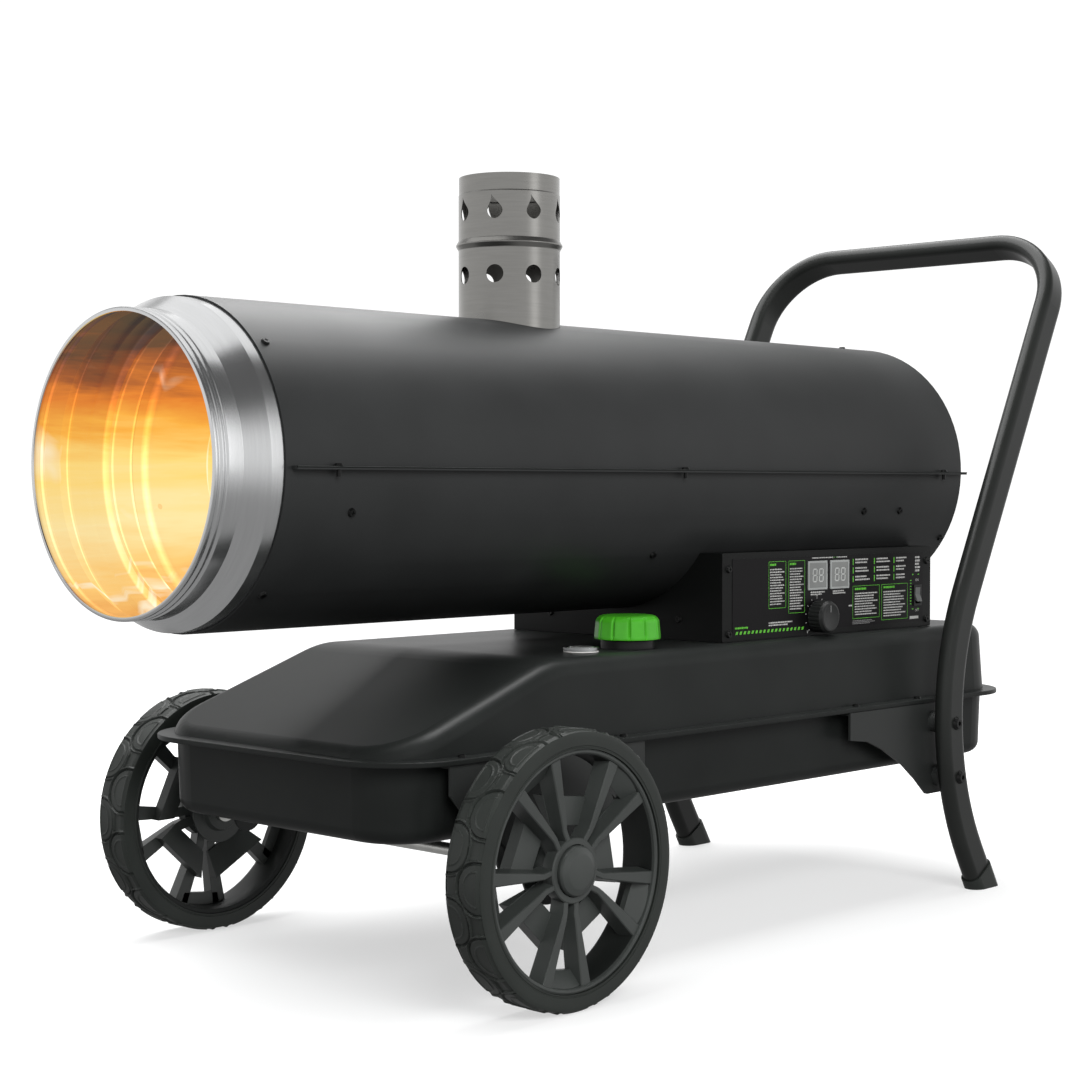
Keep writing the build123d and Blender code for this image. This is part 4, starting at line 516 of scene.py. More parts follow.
def treadHeight(angle, depth):
    # Height above the base in metres. Each pad is a rounded rectangle that runs in from an edge, and smooth
    # steps of the distance outside the nearest pad's outline, in mm, give pads, groove, ridge and inlay
    pitch = 2 * math.pi / tyre["pads"]
    heights = []
    for side in (0, 1):
        turn = (angle + side * pitch / 2 + pitch / 2) % pitch - pitch / 2
        arc = turn * tyre["outer"]
        reach = depth if side == 0 else tyre["width"] - depth
        acrossX = np.abs(arc) - (tyre["padLength"] / 2 - tyre["corner"])
        acrossY = np.abs(reach + 0.03) - (tyre["padReach"] + 0.03 - tyre["corner"])
        outside = np.hypot(np.maximum(acrossX, 0), np.maximum(acrossY, 0))
        distance = outside + np.minimum(np.maximum(acrossX, acrossY), 0) - tyre["corner"]
        inset = np.maximum(distance + tyre["inlayInset"], tyre["inlayEdge"] - reach)
        heights.append((distance, inset))
    nearest = heights[0][0] < heights[1][0]
    distance = np.where(nearest, heights[0][0], heights[1][0]) * 1000
    inset = np.where(nearest, heights[0][1], heights[1][1]) * 1000
    pad = 1 - smooth(distance, -0.5, 0.4)
    inlay = 1 - smooth(np.abs(inset), 0.3, 1.0)
    ridge = smooth(distance, 1.6, 2.2) * (1 - smooth(distance, 3.3, 4.2) * 0.62)
    return tyre["padRise"] * pad + tyre["inlayRise"] * inlay * pad + tyre["ridgeRise"] * ridge


def tyreGrid():
    # u is the angle; v runs round the section: inner face, front sidewall, tread, back sidewall
    bead = tyre["bead"]
    front = [(0.0, tyre["inner"]), (0.0, bead - 0.0006), (0.0006, bead), (0.0006, bead + 0.0007),
             (0.0, bead + 0.0013), (0.0, 0.1135), (0.0001, 0.1180), (0.0003, 0.1212), (0.0007, 0.1222)]
    back = [(tyre["width"] - depth, radius) for depth, radius in reversed(front)]
    depths = np.linspace(0.0011, tyre["width"] - 0.0011, tyre["treadSteps"])
    edge = np.minimum(depths, tyre["width"] - depths)
    fall = tyre["chamfer"] * (1 - smooth(edge, 0.0, 2 * tyre["chamfer"])) * 0.85
    tread = np.stack([depths, tyre["base"] - fall], axis=1)
    profile = np.concatenate([np.array(front), tread, np.array(back)])
    angle = np.linspace(0, 2 * math.pi, tyre["segments"], endpoint=False)[:, None]
    depth = np.broadcast_to(profile[None, :, 0], (tyre["segments"], len(profile)))
    radius = np.broadcast_to(profile[None, :, 1], (tyre["segments"], len(profile))).copy()
    first, last = len(front), len(front) + len(tread)
    onTread = depth[:, first:last]
    rise = treadHeight(angle, onTread)
    radius[:, first:last] = np.minimum(radius[:, first:last] + rise, tyre["outer"] - 0.4 * fall)
    x, z = axleX + radius * np.cos(angle), axleZ + radius * np.sin(angle)
    return np.stack([x, wheelFaceY + depth, z], axis=-1)


tyreSkin = [(tyreGrid(), True, True)]
for side, grids in (("left", tyreSkin), ("right", mirrored(tyreSkin))):
    piece = makePiece(f"tyreTread_{side}", grids, f"wheel_{side}", "tyreRubber", 40.0)
    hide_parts(f"tyre_{side}")
stage("tyres")

# Rim: barrel, five pairs of arms that part towards it, a sloped web in each pair, plates behind and a hub
rim = {
    "outer": 0.1072, "lip": 0.1030, "width": 0.043, "pairs": 5, "phase": -97.0,
    "armPath": [(0.020, 0.0064), (0.038, 0.0070), (0.044, 0.0088), (0.1035, 0.0262)],
    "armHalf": [0.0026, 0.0029, 0.0034, 0.0066], "armFront": [0.0062, 0.0056, 0.0050, 0.0036],
    "armFlare": 0.0022, "armBack": 0.0210, "edge": 0.0009, "webInner": 0.0880, "webDeep": 0.0150,
    "plateDepth": (0.0195, 0.0225), "plateInner": 0.0385, "plateOuter": 0.0640, "plateGap": 0.0036,
    "plateTaper": 0.74, "hub": 0.0220, "hubRing": 0.0292, "hubFoot": 0.034, "axleBore": 0.0061,
    "bevel": 0.0004,
}


def wheelPlace(radial, sideways, depth, angle):
    # A point given along and across a spoke at an angle, and by its depth behind the wheel's face
    turn = math.radians(angle)
    x = axleX + radial * math.cos(turn) - sideways * math.sin(turn)
    z = axleZ + radial * math.sin(turn) + sideways * math.cos(turn)
    return np.stack(np.broadcast_arrays(x, wheelFaceY + depth, z), axis=-1)


def wheelTurned(profile, segments):
    # Profile points (depth behind the wheel's face, radius) carried round the axle
    places = [(wheelFaceY + depth, radius) for depth, radius in profile]
    return turned(places, (axleX, 0, axleZ), "y", segments)


def armGrid(angle, side):
    # Section: a trapezoid with two small corner faces at the front, carried along the arm's path
    path = np.array(rim["armPath"])
    front = np.array(rim["armFront"])[:, None]
    flare, edge = rim["armFlare"], rim["edge"]
    half = np.array(rim["armHalf"])[:, None]
    corners = np.array([-flare, 0, edge, -edge, 0, flare])[None]
    across = half * np.array([-1, -1, -1, 1, 1, 1])[None] + corners
    dip = np.array([np.nan, edge, 0, 0, edge, np.nan])[None]
    depth = np.where(np.isnan(dip), rim["armBack"], front + dip)
    radial = path[:, :1] + 0 * across
    sideways = side * path[:, 1:] + across
    return closed(wheelPlace(radial, sideways, depth, angle))


def rimGrids():
    grids = []
    width, outer, lip, hub, ring = rim["width"], rim["outer"], rim["lip"], rim["hub"], rim["hubRing"]
    foot, bore = rim["hubFoot"], rim["axleBore"]
    lipRing = [(0.0018, outer), (0.0018, outer - 0.0006), (0.0012, outer - 0.0014), (0.0012, lip + 0.0012),
               (0.0024, lip), (0.0050, lip - 0.0006)]
    barrel = [(0.0050, lip - 0.0006), (0.0240, lip - 0.0026), (width - 0.006, lip - 0.0016),
              (width - 0.0022, lip), (width - 0.0014, outer - 0.0008), (width - 0.0014, outer),
              (0.0018, outer)]
    for profile in (barrel, lipRing):
        grids.append((wheelTurned(profile, 240), True, False))
    core = [(0.0052, hub + 0.0012), (0.0052, ring - 0.0012), (0.0062, ring), (0.0180, ring),
            (0.0185, hub + 0.001), (0.0365, hub), (0.0370, foot), (0.0395, foot), (0.0400, hub),
            (width + 0.003, hub - 0.002), (width + 0.0036, bore + 0.004), (width + 0.0036, bore),
            (0.0140, bore), (0.0140, hub + 0.0008)]
    grids.append((wheelTurned(core, 120), True, True))
    gap = 360.0 / rim["pairs"]
    for pair in range(rim["pairs"]):
        angle = rim["phase"] + gap * pair
        for side in (1, -1):
            grids.append(armGrid(angle, side))
        path = np.array(rim["armPath"])
        slope = (path[-1, 1] - path[-2, 1]) / (path[-1, 0] - path[-2, 0])
        innerHalf = path[-2, 1] + slope * (rim["webInner"] - path[-2, 0])
        outerHalf = path[-1, 1]
        webInner, deep, behind = rim["webInner"], rim["webDeep"], rim["armBack"]
        web = [(webInner, -innerHalf, deep), (webInner, innerHalf, deep),
               (webInner, innerHalf, behind), (webInner, -innerHalf, behind),
               (lip + 0.0002, -outerHalf, 0.0040), (lip + 0.0002, outerHalf, 0.0040),
               (lip + 0.0002, outerHalf, behind), (lip + 0.0002, -outerHalf, behind)]
        grids.append(slab([wheelPlace(*corner, angle) for corner in web]))
        near, far = rim["plateDepth"]
        reach = math.tan(math.radians(gap / 2))
        start, stop = rim["plateInner"], rim["plateOuter"]
        slim, wide = start * reach - rim["plateGap"], stop * reach * rim["plateTaper"]
        plate = [(start, -slim, far - 0.004), (start, slim, far - 0.004),
                 (start, slim, far), (start, -slim, far),
                 (stop, -wide, near), (stop, wide, near),
                 (stop, wide, far + 0.010), (stop, -wide, far + 0.010)]
        grids.append(slab([wheelPlace(*corner, angle + gap / 2) for corner in plate]))
    return grids


rimSkin = rimGrids()
for side, grids in (("left", rimSkin), ("right", mirrored(rimSkin))):
    # The barrel takes the darker copy of the rim plastic as painted shade, and the other grids take the rim
    # plastic
    piece = makePiece(f"rimSpokes_{side}", grids, f"wheel_{side}",
                      ["rimPlastic", "rimShade"], 28.0, which=[1] + [0] * (len(grids) - 1))
    addBevel(piece, rim["bevel"], 2, 40.0)
    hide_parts(f"rim_{side}")

# Hubcap: a plug with a coned side and a flat, softly edged face
hubcap = {"radius": 0.0225, "face": 0.0158, "proud": 0.0020, "plug": 0.0197, "back": 0.0125, "step": 0.0087}
hubcapSide = [(hubcap["step"], hubcap["plug"]), (hubcap["step"], hubcap["radius"]),
              (0.0030, hubcap["radius"]), (0.0006, hubcap["radius"] - 0.0012),
              (-hubcap["proud"] + 0.0003, hubcap["face"]),
              (-hubcap["proud"], hubcap["face"] - 0.0016)]
hubcapProfile = [(hubcap["back"], 0.0), (hubcap["back"], hubcap["plug"])]
hubcapProfile += [*roundedPath(hubcapSide, 0.0016), (-hubcap["proud"], 0.0)]
hubcapGrid = [(wheelTurned(hubcapProfile, 120), True, False)]
for side, grids in (("left", hubcapGrid), ("right", mirrored(hubcapGrid))):
    piece = makePiece(f"hubcapDome_{side}", grids, f"wheel_{side}", "rimPlastic", 40.0)
    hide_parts(f"hubcap_{side}")
stage("wheels")

# Outlet ring: the sheet's outer skin is bright steel and its inner skin is lit by the fire
outlet = {"collar": 0.136, "band": 0.1482, "reach": 0.063, "tail": 0.018, "sheet": 0.001, "groove": 0.0017,
          "liner": 0.1362, "shoulder": 0.1431}


def outletGrids():
    rimX = -outlet["reach"]
    collar, band, groove, sheet = outlet["collar"], outlet["band"], outlet["groove"], outlet["sheet"]
    outside = [(rimX, collar - 0.0012), (rimX + 0.0006, collar - 0.0001), (rimX + 0.0032, collar),
               (rimX + 0.0044, collar - groove), (rimX + 0.0066, collar - groove), (rimX + 0.0078, collar),
               (rimX + 0.0102, collar), (rimX + 0.0114, collar - groove), (rimX + 0.0131, collar - groove),
               (rimX + 0.0143, collar), (rimX + 0.0295, collar), (rimX + 0.0495, band),
               (outlet["tail"], band)]
    inside = [(x, r - sheet) for x, r in outside[2:-1]]
    inside += [(0.0030, band - sheet), (0.0045, outlet["shoulder"]), (outlet["tail"], outlet["shoulder"])]
    step = [(outlet["tail"], outlet["shoulder"]), (outlet["tail"] + 0.0026, outlet["shoulder"] - 0.0006),
            (outlet["tail"] + 0.0037, outlet["liner"])]
    lip = [(rimX + 0.0010, collar - 0.0042), (rimX, collar - 0.0038)]
    outerSkin = roundedPath(outside, 0.0012)
    innerSkin = roundedPath(inside, 0.0010)
    tail = np.array([outerSkin[-1], innerSkin[-1]])
    front = np.array([innerSkin[0], *lip, outerSkin[0]])
    grids = []
    for profile in (outerSkin, innerSkin, tail, front, roundedPath(step, 0.0015)):
        placed = [(frontX + x, r) for x, r in profile]
        grids.append((turned(placed, (0, 0, axisZ), "x", 256), True, False))
    return grids


ringPiece = makePiece("outletCollar", outletGrids(), "chassis", ["ringSteel", "ringGlow"], 35.0,
                      which=[0, 1, 1, 0, 1])
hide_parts("outlet_ring")

# Casing seam: the rolled edge of the upper sheet's lip, a small round carried along both sides
seam = {"radius": 0.0008, "start": 0.006, "height": 0.0007, "steps": 12, "sides": 20}
casingLow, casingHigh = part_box("casing_upper")
seamTurn = np.linspace(0, 2 * math.pi, seam["sides"], endpoint=False)[None]
seamPlace = np.linspace(casingLow.x + seam["start"], casingHigh.x, seam["steps"])[:, None]
seamBead = np.stack(np.broadcast_arrays(seamPlace, casingLow.y + 0.0003 + seam["radius"] * np.cos(seamTurn),
                    casingLow.z + seam["height"] + seam["radius"] * np.sin(seamTurn)), axis=-1)
seamSkin = [closed(seamBead)]
makePiece("seamRoll", seamSkin + mirrored(seamSkin), "chassis", "tankPaint", 40.0)

# Knob: a fluted skirt, a level shoulder and a shallow dished face
knob = {"radius": 0.0175, "length": 0.0190, "flutes": 24, "depth": 0.0011,
        "markHalf": 0.0006, "markEnds": (0.0050, 0.0128), "markSink": 0.00055, "markThick": 0.0002}
knobCentre = middle("control_knob")
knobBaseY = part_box("control_knob")[1].y


def knobWave(angle, along, radius):
    # Flutes: the radius dips with the cosine of the angle, only on the skirt
    skirt = smooth(knobBaseY - along, 0.0010, 0.0022) * (1 - smooth(knobBaseY - along, 0.0135, 0.0155))
    onSkirt = radius > knob["radius"] * 0.9
    dip = np.clip(np.cos(knob["flutes"] * angle), -0.2, 1) * 0.5 + 0.1
    return -knob["depth"] * skirt * dip * onSkirt


skirtProfile = [(0.0, 0.0), (0.0, knob["radius"] - 0.0004), (0.0010, knob["radius"])]
skirtProfile += [(depth, knob["radius"]) for depth in np.linspace(0.0022, 0.0150, 9)]
skirtProfile += [(0.0158, knob["radius"] - 0.0006), (0.0184, knob["radius"] - 0.0018),
                 (knob["length"], knob["radius"] - 0.0030), (knob["length"], knob["radius"] - 0.0042),
                 (0.0186, knob["radius"] - 0.0050), (0.0185, 0.0)]
skirtPlaces = [(knobBaseY - depth, radius) for depth, radius in skirtProfile]
knobGrid = turned(skirtPlaces, (knobCentre.x, 0, knobCentre.z), "y", 288, knobWave)
knobPiece = makePiece("knobSkirt", [(knobGrid, True, False)], "knob", "knobPlastic", 38.0)
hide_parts("control_knob")


def plates(rows, y, thickness, slant=0.0):
    # Thin plates that face -Y from rows of (x0, x1, z0, z1) in metres; slant moves each top edge sideways
    grids = []
    for x0, x1, z0, z1 in rows:
        lean = slant * (z1 - z0)
        back = [(x0, y, z0), (x1, y, z0), (x1 + lean, y, z1), (x0 + lean, y, z1)]
        face = [(px, y - thickness, pz) for px, _, pz in back]
        grids.append(slab(back + face))
    return grids


markRows = [(knobCentre.x - knob["markHalf"], knobCentre.x + knob["markHalf"],
             knobCentre.z + knob["markEnds"][0], knobCentre.z + knob["markEnds"][1])]
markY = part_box("control_knob")[0].y + knob["markSink"]
makePiece("knobMark", plates(markRows, markY, knob["markThick"]), "knob", "printGrey", 30.0)

# Filler cap: twelve grips parted by notches, a rounded crown and a skirt a little wider below
cap = {"radius": 0.0335, "height": 0.0240, "grips": 12, "notch": 0.0023, "taper": 0.0022, "swell": 0.0003,
       "bore": 0.0252, "boreTop": 0.0172}
capLow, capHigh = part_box("filler_cap")
capCentre = (capLow + capHigh) / 2


def capWave(angle, along, radius):
    # Notches: narrow dips at each grip's edge, full height on the side and fading over the crown
    turn = (angle * cap["grips"] / (2 * math.pi)) % 1.0
    dip = np.exp(-(((turn - 0.5) / 0.065) ** 2))
    height = (along - capLow.z) / cap["height"]
    reach = smooth(height, 0.02, 0.10) * (1 - smooth(height, 0.80, 1.0))
    swell = cap["swell"] * np.cos(turn * 2 * math.pi)
    return (-cap["notch"] * dip - swell) * reach * (radius > cap["radius"] * 0.55)


capSide = [(0.0, cap["radius"] - 0.0004), (0.0008, cap["radius"])]
for height in np.linspace(0.003, 0.0185, 9):
    capSide.append((height, cap["radius"] - cap["taper"] * height / cap["height"]))
capSide += [(0.0208, cap["radius"] - 0.0031), (0.0226, cap["radius"] - 0.0050),
            (0.0236, cap["radius"] - 0.0078), (cap["height"], cap["radius"] - 0.0115), (cap["height"], 0.0)]
capSide = [(cap["boreTop"], 0.0), (cap["boreTop"], cap["bore"]), (0.0, cap["bore"])] + capSide
capGrid = turned([(capLow.z + z, r) for z, r in capSide], (capCentre.x, capCentre.y, 0), "z", 432, capWave)
capPiece = makePiece("capGrips", [(capGrid, True, False)], "cap", "capPlastic", 45.0)
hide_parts("filler_cap")
stage("ring, knob and cap")

# Panel print: generic dashes in place of words, outlined boxes, ticks and slanted bars. A row is left, right,
# top and bottom, as shares of the overlay from its upper left corner; a box adds its number of lines, and a
# run of dashes adds its lines, its seed and the printed share of each line
panelPrint = {
    "thickness": 0.00006, "boxLine": 0.0012,
    "boxes": [(0.174, 0.259, 0.05, 0.68, 14), (0.272, 0.354, 0.05, 0.76, 16),
              (0.606, 0.753, 0.44, 0.90, 9), (0.764, 0.912, 0.44, 0.95, 10)],
    "notes": [(0.606, 0.700), (0.722, 0.812), (0.8315, 0.905)],
    "noteTops": (0.06, 0.18, 0.30), "noteHeight": 0.085, "noteBar": 0.004, "noteIndent": 0.014,
    "white": [(0.393, 0.580, 0.018, 0.036, 1, 5, 0.8), (0.385, 0.460, 0.485, 0.545, 2, 53.85, 0.6),
              (0.500, 0.575, 0.485, 0.545, 2, 55, 0.6), (0.174, 0.300, 0.860, 0.925, 2, 61, 0.55),
              (0.585, 0.610, 0.700, 0.725, 1, 71, 0.8), (0.955, 0.985, 0.06, 0.30, 5, 81, 0.6)],
    "green": [(0.500, 0.530, 0.018, 0.036, 1, 8, 0.8), (0.012, 0.085, 0.895, 0.925, 1, 65, 0.8)],
    "grey": [(0.606, 0.730, 0.925, 0.985, 3, 73, 0.5)],
    "whitePlate": (0.925, 0.975, 0.925, 0.965),
    "greenPlates": [(0.938, 0.946, 0.315, 0.33), (0.970, 0.978, 0.315, 0.33),
                    (0.938, 0.946, 0.815, 0.83), (0.970, 0.978, 0.815, 0.83)],
    "tick": (0.926, 0.934), "tickTops": (0.40, 0.74, 9), "tickHeight": 0.014,
    "bars": 18, "bar": (0.014, 0.0235, 0.952, 0.992), "barPitch": 0.0190, "barSlant": 0.45,
    "shortest": 0.003, "spread": 0.008, "gap": 0.0018, "ragged": 0.25,
}
overlayLow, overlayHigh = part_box("panel_overlay")
overlayWidth, overlayHeight = overlayHigh.x - overlayLow.x, overlayHigh.z - overlayLow.z


def onPanel(rows):
    # Rows in shares of the overlay become rows of (x0, x1, z0, z1) in metres
    return [(overlayLow.x + left * overlayWidth, overlayLow.x + right * overlayWidth,
             overlayHigh.z - bottom * overlayHeight, overlayHigh.z - top * overlayHeight)
            for left, right, top, bottom in rows]


def dashes(left, right, top, bottom, lines, seed, thick=0.45):
    # Lines of short dashes: lengths and gaps come from the fraction of a sine, so each run gives the same
    rows = []
    pitch = (bottom - top) / lines
    for line in range(lines):
        place, step = left, 0
        cut = panelPrint["ragged"] * (math.sin(seed * 7.1 + line * 2.3) * 0.5 + 0.5)
        limit = right - (right - left) * cut
        while place < limit:
            share = abs(math.sin(seed * 12.9898 + line * 78.233 + step * 37.719)) * 43758.5453 % 1.0
            length = panelPrint["shortest"] + panelPrint["spread"] * share
            end = min(place + length, limit)
            rows.append((place, end, top + line * pitch, top + (line + thick) * pitch))
            place = end + panelPrint["gap"]
            step += 1
    return rows


def outline(left, right, top, bottom):
    wide = panelPrint["boxLine"]
    tall = wide * overlayWidth / overlayHeight
    return [(left, right, top, top + tall), (left, right, bottom - tall, bottom),
            (left, left + wide, top, bottom), (right - wide, right, top, bottom)]


greenRows, whiteRows, greyRows = [], [], []
for order, (left, right, top, bottom, lines) in enumerate(panelPrint["boxes"]):
    greenRows += outline(left, right, top, bottom)
    inner = (right - left) * 0.08
    greenRows += dashes(left + inner, left + (right - left) * 0.5, top + 0.03, top + 0.07, 1, order + 3, 0.7)
    whiteRows += dashes(left + inner, right - inner, top + 0.10, bottom - 0.03, lines, order + 11)
for order, (left, right) in enumerate(panelPrint["notes"]):
    for line, top in enumerate(panelPrint["noteTops"]):
        bottom, seed = top + panelPrint["noteHeight"], order * 3 + line + 31
        greenRows.append((left, left + panelPrint["noteBar"], top, bottom))
        whiteRows += dashes(left + panelPrint["noteIndent"], right, top, bottom, 2, seed, 0.5)
for rows, tone in ((whiteRows, "white"), (greenRows, "green"), (greyRows, "grey")):
    for run in panelPrint[tone]:
        rows += dashes(*run)
whiteRows.append(panelPrint["whitePlate"])
greenRows += panelPrint["greenPlates"]
greenRows += [(*panelPrint["tick"], top, top + panelPrint["tickHeight"])
              for top in np.linspace(*panelPrint["tickTops"])]
left, right, top, bottom = panelPrint["bar"]
slantedRows = [(left + panelPrint["barPitch"] * step, right + panelPrint["barPitch"] * step, top, bottom)
               for step in range(panelPrint["bars"])]

for name, rows, slant, material in (
    ("panelPrintGreen", greenRows, 0.0, "printGreen"),
    ("panelPrintBars", slantedRows, panelPrint["barSlant"], "printGreen"),
    ("panelPrintWhite", whiteRows, 0.0, "printWhite"),
    ("panelPrintGrey", greyRows, 0.0, "printGrey"),
):
    grids = plates(onPanel(rows), panelY, panelPrint["thickness"], slant)
    makePiece(name, grids, "chassis", material, 30.0)


def words(name, text, size, x, z):
    # Plain letters made a mesh, turned to face -Y and set on the panel in their own vertices
    curve = bpy.data.curves.new(name + "Curve", "FONT")
    curve.body = text
    curve.size = size
    curve.align_x = "CENTER"
    curve.align_y = "CENTER"
    curve.extrude = panelPrint["thickness"]
    temporary = addObject(name + "Curve", curve)
    bpy.context.view_layer.update()
    mesh = bpy.data.meshes.new_from_object(temporary.evaluated_get(bpy.context.evaluated_depsgraph_get()))
    bpy.data.objects.remove(temporary)
    mesh.name = name
    places = np.empty(len(mesh.vertices) * 3, np.float32)
    mesh.vertices.foreach_get("co", places)
    flat = places.reshape(-1, 3)
    turnedPlaces = np.stack([x + flat[:, 0], panelY - flat[:, 2], z + flat[:, 1]], axis=1)
    mesh.vertices.foreach_set("co", turnedPlaces.ravel())
    addPiece(name, mesh, ["printWhite"], "chassis")


switchWord = {"size": 0.0042, "offset": 0.0175}
rockerCentre = middle("rocker_frame")
for name, text, offset in (("switchWordOn", "ON", switchWord["offset"]),
                           ("switchWordOff", "OFF", -switchWord["offset"])):
    words(name, text, switchWord["size"], rockerCentre.x, rockerCentre.z + offset)

# Dial: ticks and three numbers round the knob, from the lower left over the top to the lower right
dial = {"first": 225.0, "turn": 270.0, "ticks": 11, "inner": 0.0193, "outer": 0.0213, "half": 0.00035,
        "numbers": ("0", "20", "40"), "numberSize": 0.0040, "numberX": 0.0245, "numberZ": 0.0232}


def dialPrint():
    # Ticks: thin plates whose four corners lie between two radii at even angles
    grids = []
    inner, outer = dial["inner"], dial["outer"]
    for step in range(dial["ticks"]):
        turn = math.radians(dial["first"] - dial["turn"] / (dial["ticks"] - 1) * step)
        direction = np.array([math.cos(turn), math.sin(turn)])
        sideways = np.array([-direction[1], direction[0]]) * dial["half"]
        spots = [direction * inner - sideways, direction * inner + sideways, direction * outer + sideways,
                 direction * outer - sideways]
        back = [(knobCentre.x + a, panelY, knobCentre.z + b) for a, b in spots]
        grids.append(slab(back + [(px, panelY - panelPrint["thickness"], pz) for px, _, pz in back]))
    return grids


makePiece("dialTicks", dialPrint(), "chassis", "printWhite", 30.0)
for step, number in enumerate(dial["numbers"]):
    turn = math.radians(dial["first"] - dial["turn"] / 2 * step)
    words(f"dialNumber_{number}", number, dial["numberSize"], knobCentre.x + dial["numberX"] * math.cos(turn),
          knobCentre.z + dial["numberZ"] * math.sin(turn))

# Displays: an inset plate in each window with two unlit seven-bar figures
display = {"window": 0.035, "inset": 0.0022, "figureWidth": 0.0082, "figureHeight": 0.0150, "bar": 0.0014,
           "gap": 0.0016, "layer": 0.00005, "slant": 0.08}
windowLow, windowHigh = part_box("display_windows")


def sevenBars(x, z):
    # Seven thin bars of one figure about a centre: three level and four upright
    halfW, halfH, bar = display["figureWidth"] / 2, display["figureHeight"] / 2, display["bar"]
    level = [(x - halfW + bar, x + halfW - bar, z + place - bar / 2, z + place + bar / 2)
             for place in (-halfH + bar / 2, 0, halfH - bar / 2)]
    upright = [(x + side - bar / 2, x + side + bar / 2, z + low, z + high)
               for side in (-halfW + bar / 2, halfW - bar / 2)
               for low, high in ((-halfH + bar * 0.8, -bar * 0.6), (bar * 0.6, halfH - bar * 0.8))]
    return level + upright


insetRows, barRows = [], []
for left in (windowLow.x, windowHigh.x - display["window"]):
    inset = display["inset"]
    insetRows.append((left + inset, left + display["window"] - inset,
                      windowLow.z + inset, windowHigh.z - inset))
    centre, centreZ = left + display["window"] / 2, (windowLow.z + windowHigh.z) / 2
    reach = display["figureWidth"] / 2 + display["gap"]
    for side in (-reach, reach):
        barRows += sevenBars(centre + side, centreZ)
layer = display["layer"]
makePiece("displayInset", plates(insetRows, windowLow.y, layer), "chassis", "windowTint", 30.0)
makePiece("displayFigures", plates(barRows, windowLow.y - layer, layer, display["slant"]), "chassis",
          "digitTone", 30.0)
stage("panel")

# Studio: a pale floor that glows more far out, and a bright backdrop
studio = {
    "floorHalf": 30.0, "floorTone": (0.36, 0.362, 0.362), "glow": (0.55, 1.0), "glowReach": (0.35, 1.1),
    "backdrop": (0.72, 0.69, 0.0), "backdropEdge": (0.45, 0.80), "behind": 1.1, "around": 1.0,
    "ceiling": 0.12, "ceilingEdge": (0.30, 0.60), "below": 0.36, "belowEdge": (-0.30, 0.0),
}

# Lights: place, target, size, power, whether reflections show it, and the pieces that it leaves out or is
# for. The bare metal takes weaker lights than the black paint, and the lid's sloped edge reflects its own
metals = [ringPiece, nodes["flue_pipe"], nodes["gauge_bezel"]]
lights = {
    "topLight": ((0.0, 0.65, 2.3), (0.0, 0.1, 0.3), (3.4, 2.4), 140.0, True, metals, "EXCLUDE"),
    "metalLight": ((0.0, 0.65, 2.3), (0.0, 0.1, 0.3), (3.4, 2.4), 27.0, True, metals, "INCLUDE"),
    "metalSide": ((0.5, -2.6, 1.2), (0.0, 0.0, 0.5), (0.9, 1.8), 5.0, True, metals, "INCLUDE"),
    "leftLight": ((-1.4, -2.4, 1.7), (-0.1, 0.0, 0.4), (1.7, 1.3), 90.0, False, [], "INCLUDE"),
    "lidLight": ((0.05, -0.42, 1.95), (-0.35, -0.2, 0.3), (0.8, 0.7), 30.0, True, [nodes["tank_lid"]],
                 "INCLUDE"),
}


def aim(thing, place, target):
    thing.location = place
    thing.rotation_euler = (Vector(target) - Vector(place)).to_track_quat("-Z", "Y").to_euler()


def floorPaint():
    material, tree, shader = newMaterial("floorPaint")
    distance = lengthOf(tree, objectCoordinates(tree))
    glow = toRange(tree, distance, *studio["glow"], *studio["glowReach"])
    glow.node.interpolation_type = "SMOOTHSTEP"
    feed(tree, shader, {"Base Color": (*studio["floorTone"], 1), "Roughness": 0.9, "Specular IOR Level": 0.05,
                        "Emission Color": (1, 1, 1, 1), "Emission Strength": glow})
    return material


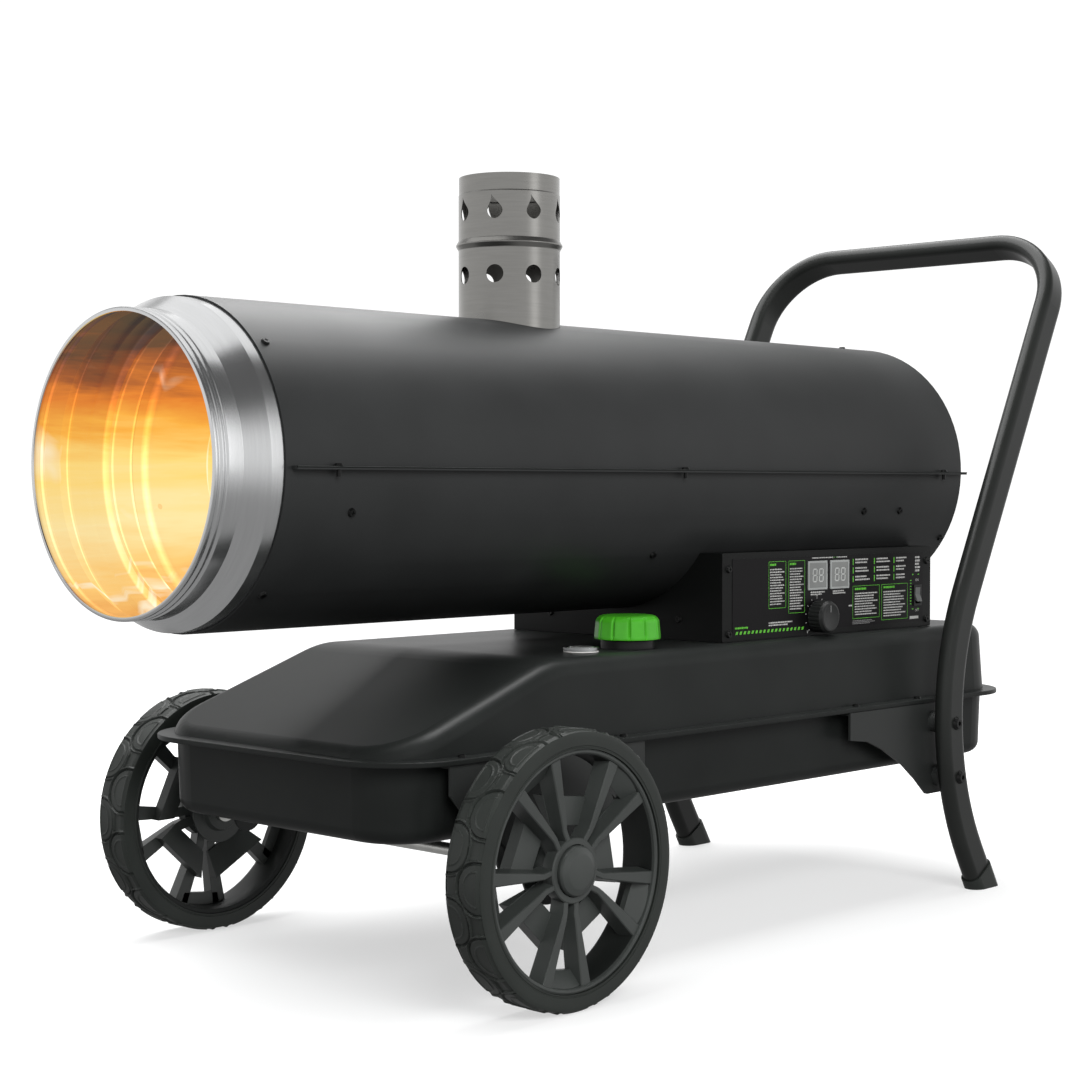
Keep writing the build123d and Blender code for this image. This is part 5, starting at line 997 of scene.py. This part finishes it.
def makeWorld():
    # Backdrop: bright low down, most of all behind the heater, and dark overhead; what it shows below the
    # horizon stands in for the floor in the heater's reflections
    world = bpy.data.worlds.new("studioWorld")
    bpy.context.scene.world = world
    world.use_nodes = True
    tree = world.node_tree
    sky = newNode(tree, "TexCoord", {})["Generated"]
    towards = newNode(tree, "VectorMath", {0: sky, 1: studio["backdrop"]}, operation="DOT_PRODUCT")["Value"]
    height = separate(tree, sky)["Z"]
    low = toRange(tree, towards, studio["around"], studio["behind"], *studio["backdropEdge"])
    dim = toRange(tree, height, 1.0, studio["ceiling"], *studio["ceilingEdge"])
    under = toRange(tree, height, studio["below"], 1.0, *studio["belowEdge"])
    strength = calculate(tree, "MULTIPLY", calculate(tree, "MULTIPLY", low, dim), under)
    feed(tree, tree.nodes["Background"], {"Strength": strength, "Color": (1, 1, 1, 1)})


def addLight(name, place, target, size, power, glossy, linked, state):
    data = bpy.data.lights.new(name, "AREA")
    data.shape = "RECTANGLE"
    data.size, data.size_y = size
    data.energy = power
    lamp = addObject(name, data)
    lamp.visible_glossy = glossy
    aim(lamp, place, target)
    if linked:
        receivers = bpy.data.collections.new(name + "Receivers")
        for thing in linked:
            receivers.objects.link(thing)
        for entry in receivers.collection_objects:
            entry.light_linking.link_state = state
        lamp.light_linking.receiver_collection = receivers


def makeStudio():
    span = np.linspace(-studio["floorHalf"], studio["floorHalf"], 3)
    grid = np.stack(np.broadcast_arrays(span[:, None], span[None], np.zeros((3, 3))), axis=-1)
    points, faces, _ = joinGrids([(grid, False, False)])
    mesh = bpy.data.meshes.new("studioFloor")
    mesh.from_pydata(points.tolist(), [], faces.tolist())
    floor = addObject("studioFloor", mesh)
    mesh.materials.append(floorPaint())
    floor.visible_glossy = False
    floor.visible_diffuse = False
    makeWorld()
    for name, settings in lights.items():
        addLight(name, *settings)


makeStudio()

# Camera: about 2.2 m from the heater and 0.46 m above the floor, ahead of the panel side
viewpoint = {"place": (-1.67525, -1.51139, 0.46111), "direction": (0.7227, 0.6908, -0.025), "lens": 69.81}


def makeCamera():
    data = bpy.data.cameras.new("photoView")
    data.lens = viewpoint["lens"]
    data.sensor_width = 36.0
    camera = addObject("photoView", data)
    place = Vector(viewpoint["place"])
    aim(camera, place, place + Vector(viewpoint["direction"]))
    bpy.context.scene.camera = camera


makeCamera()
bpy.context.scene.view_settings.view_transform = "Standard"
stage("studio and camera")
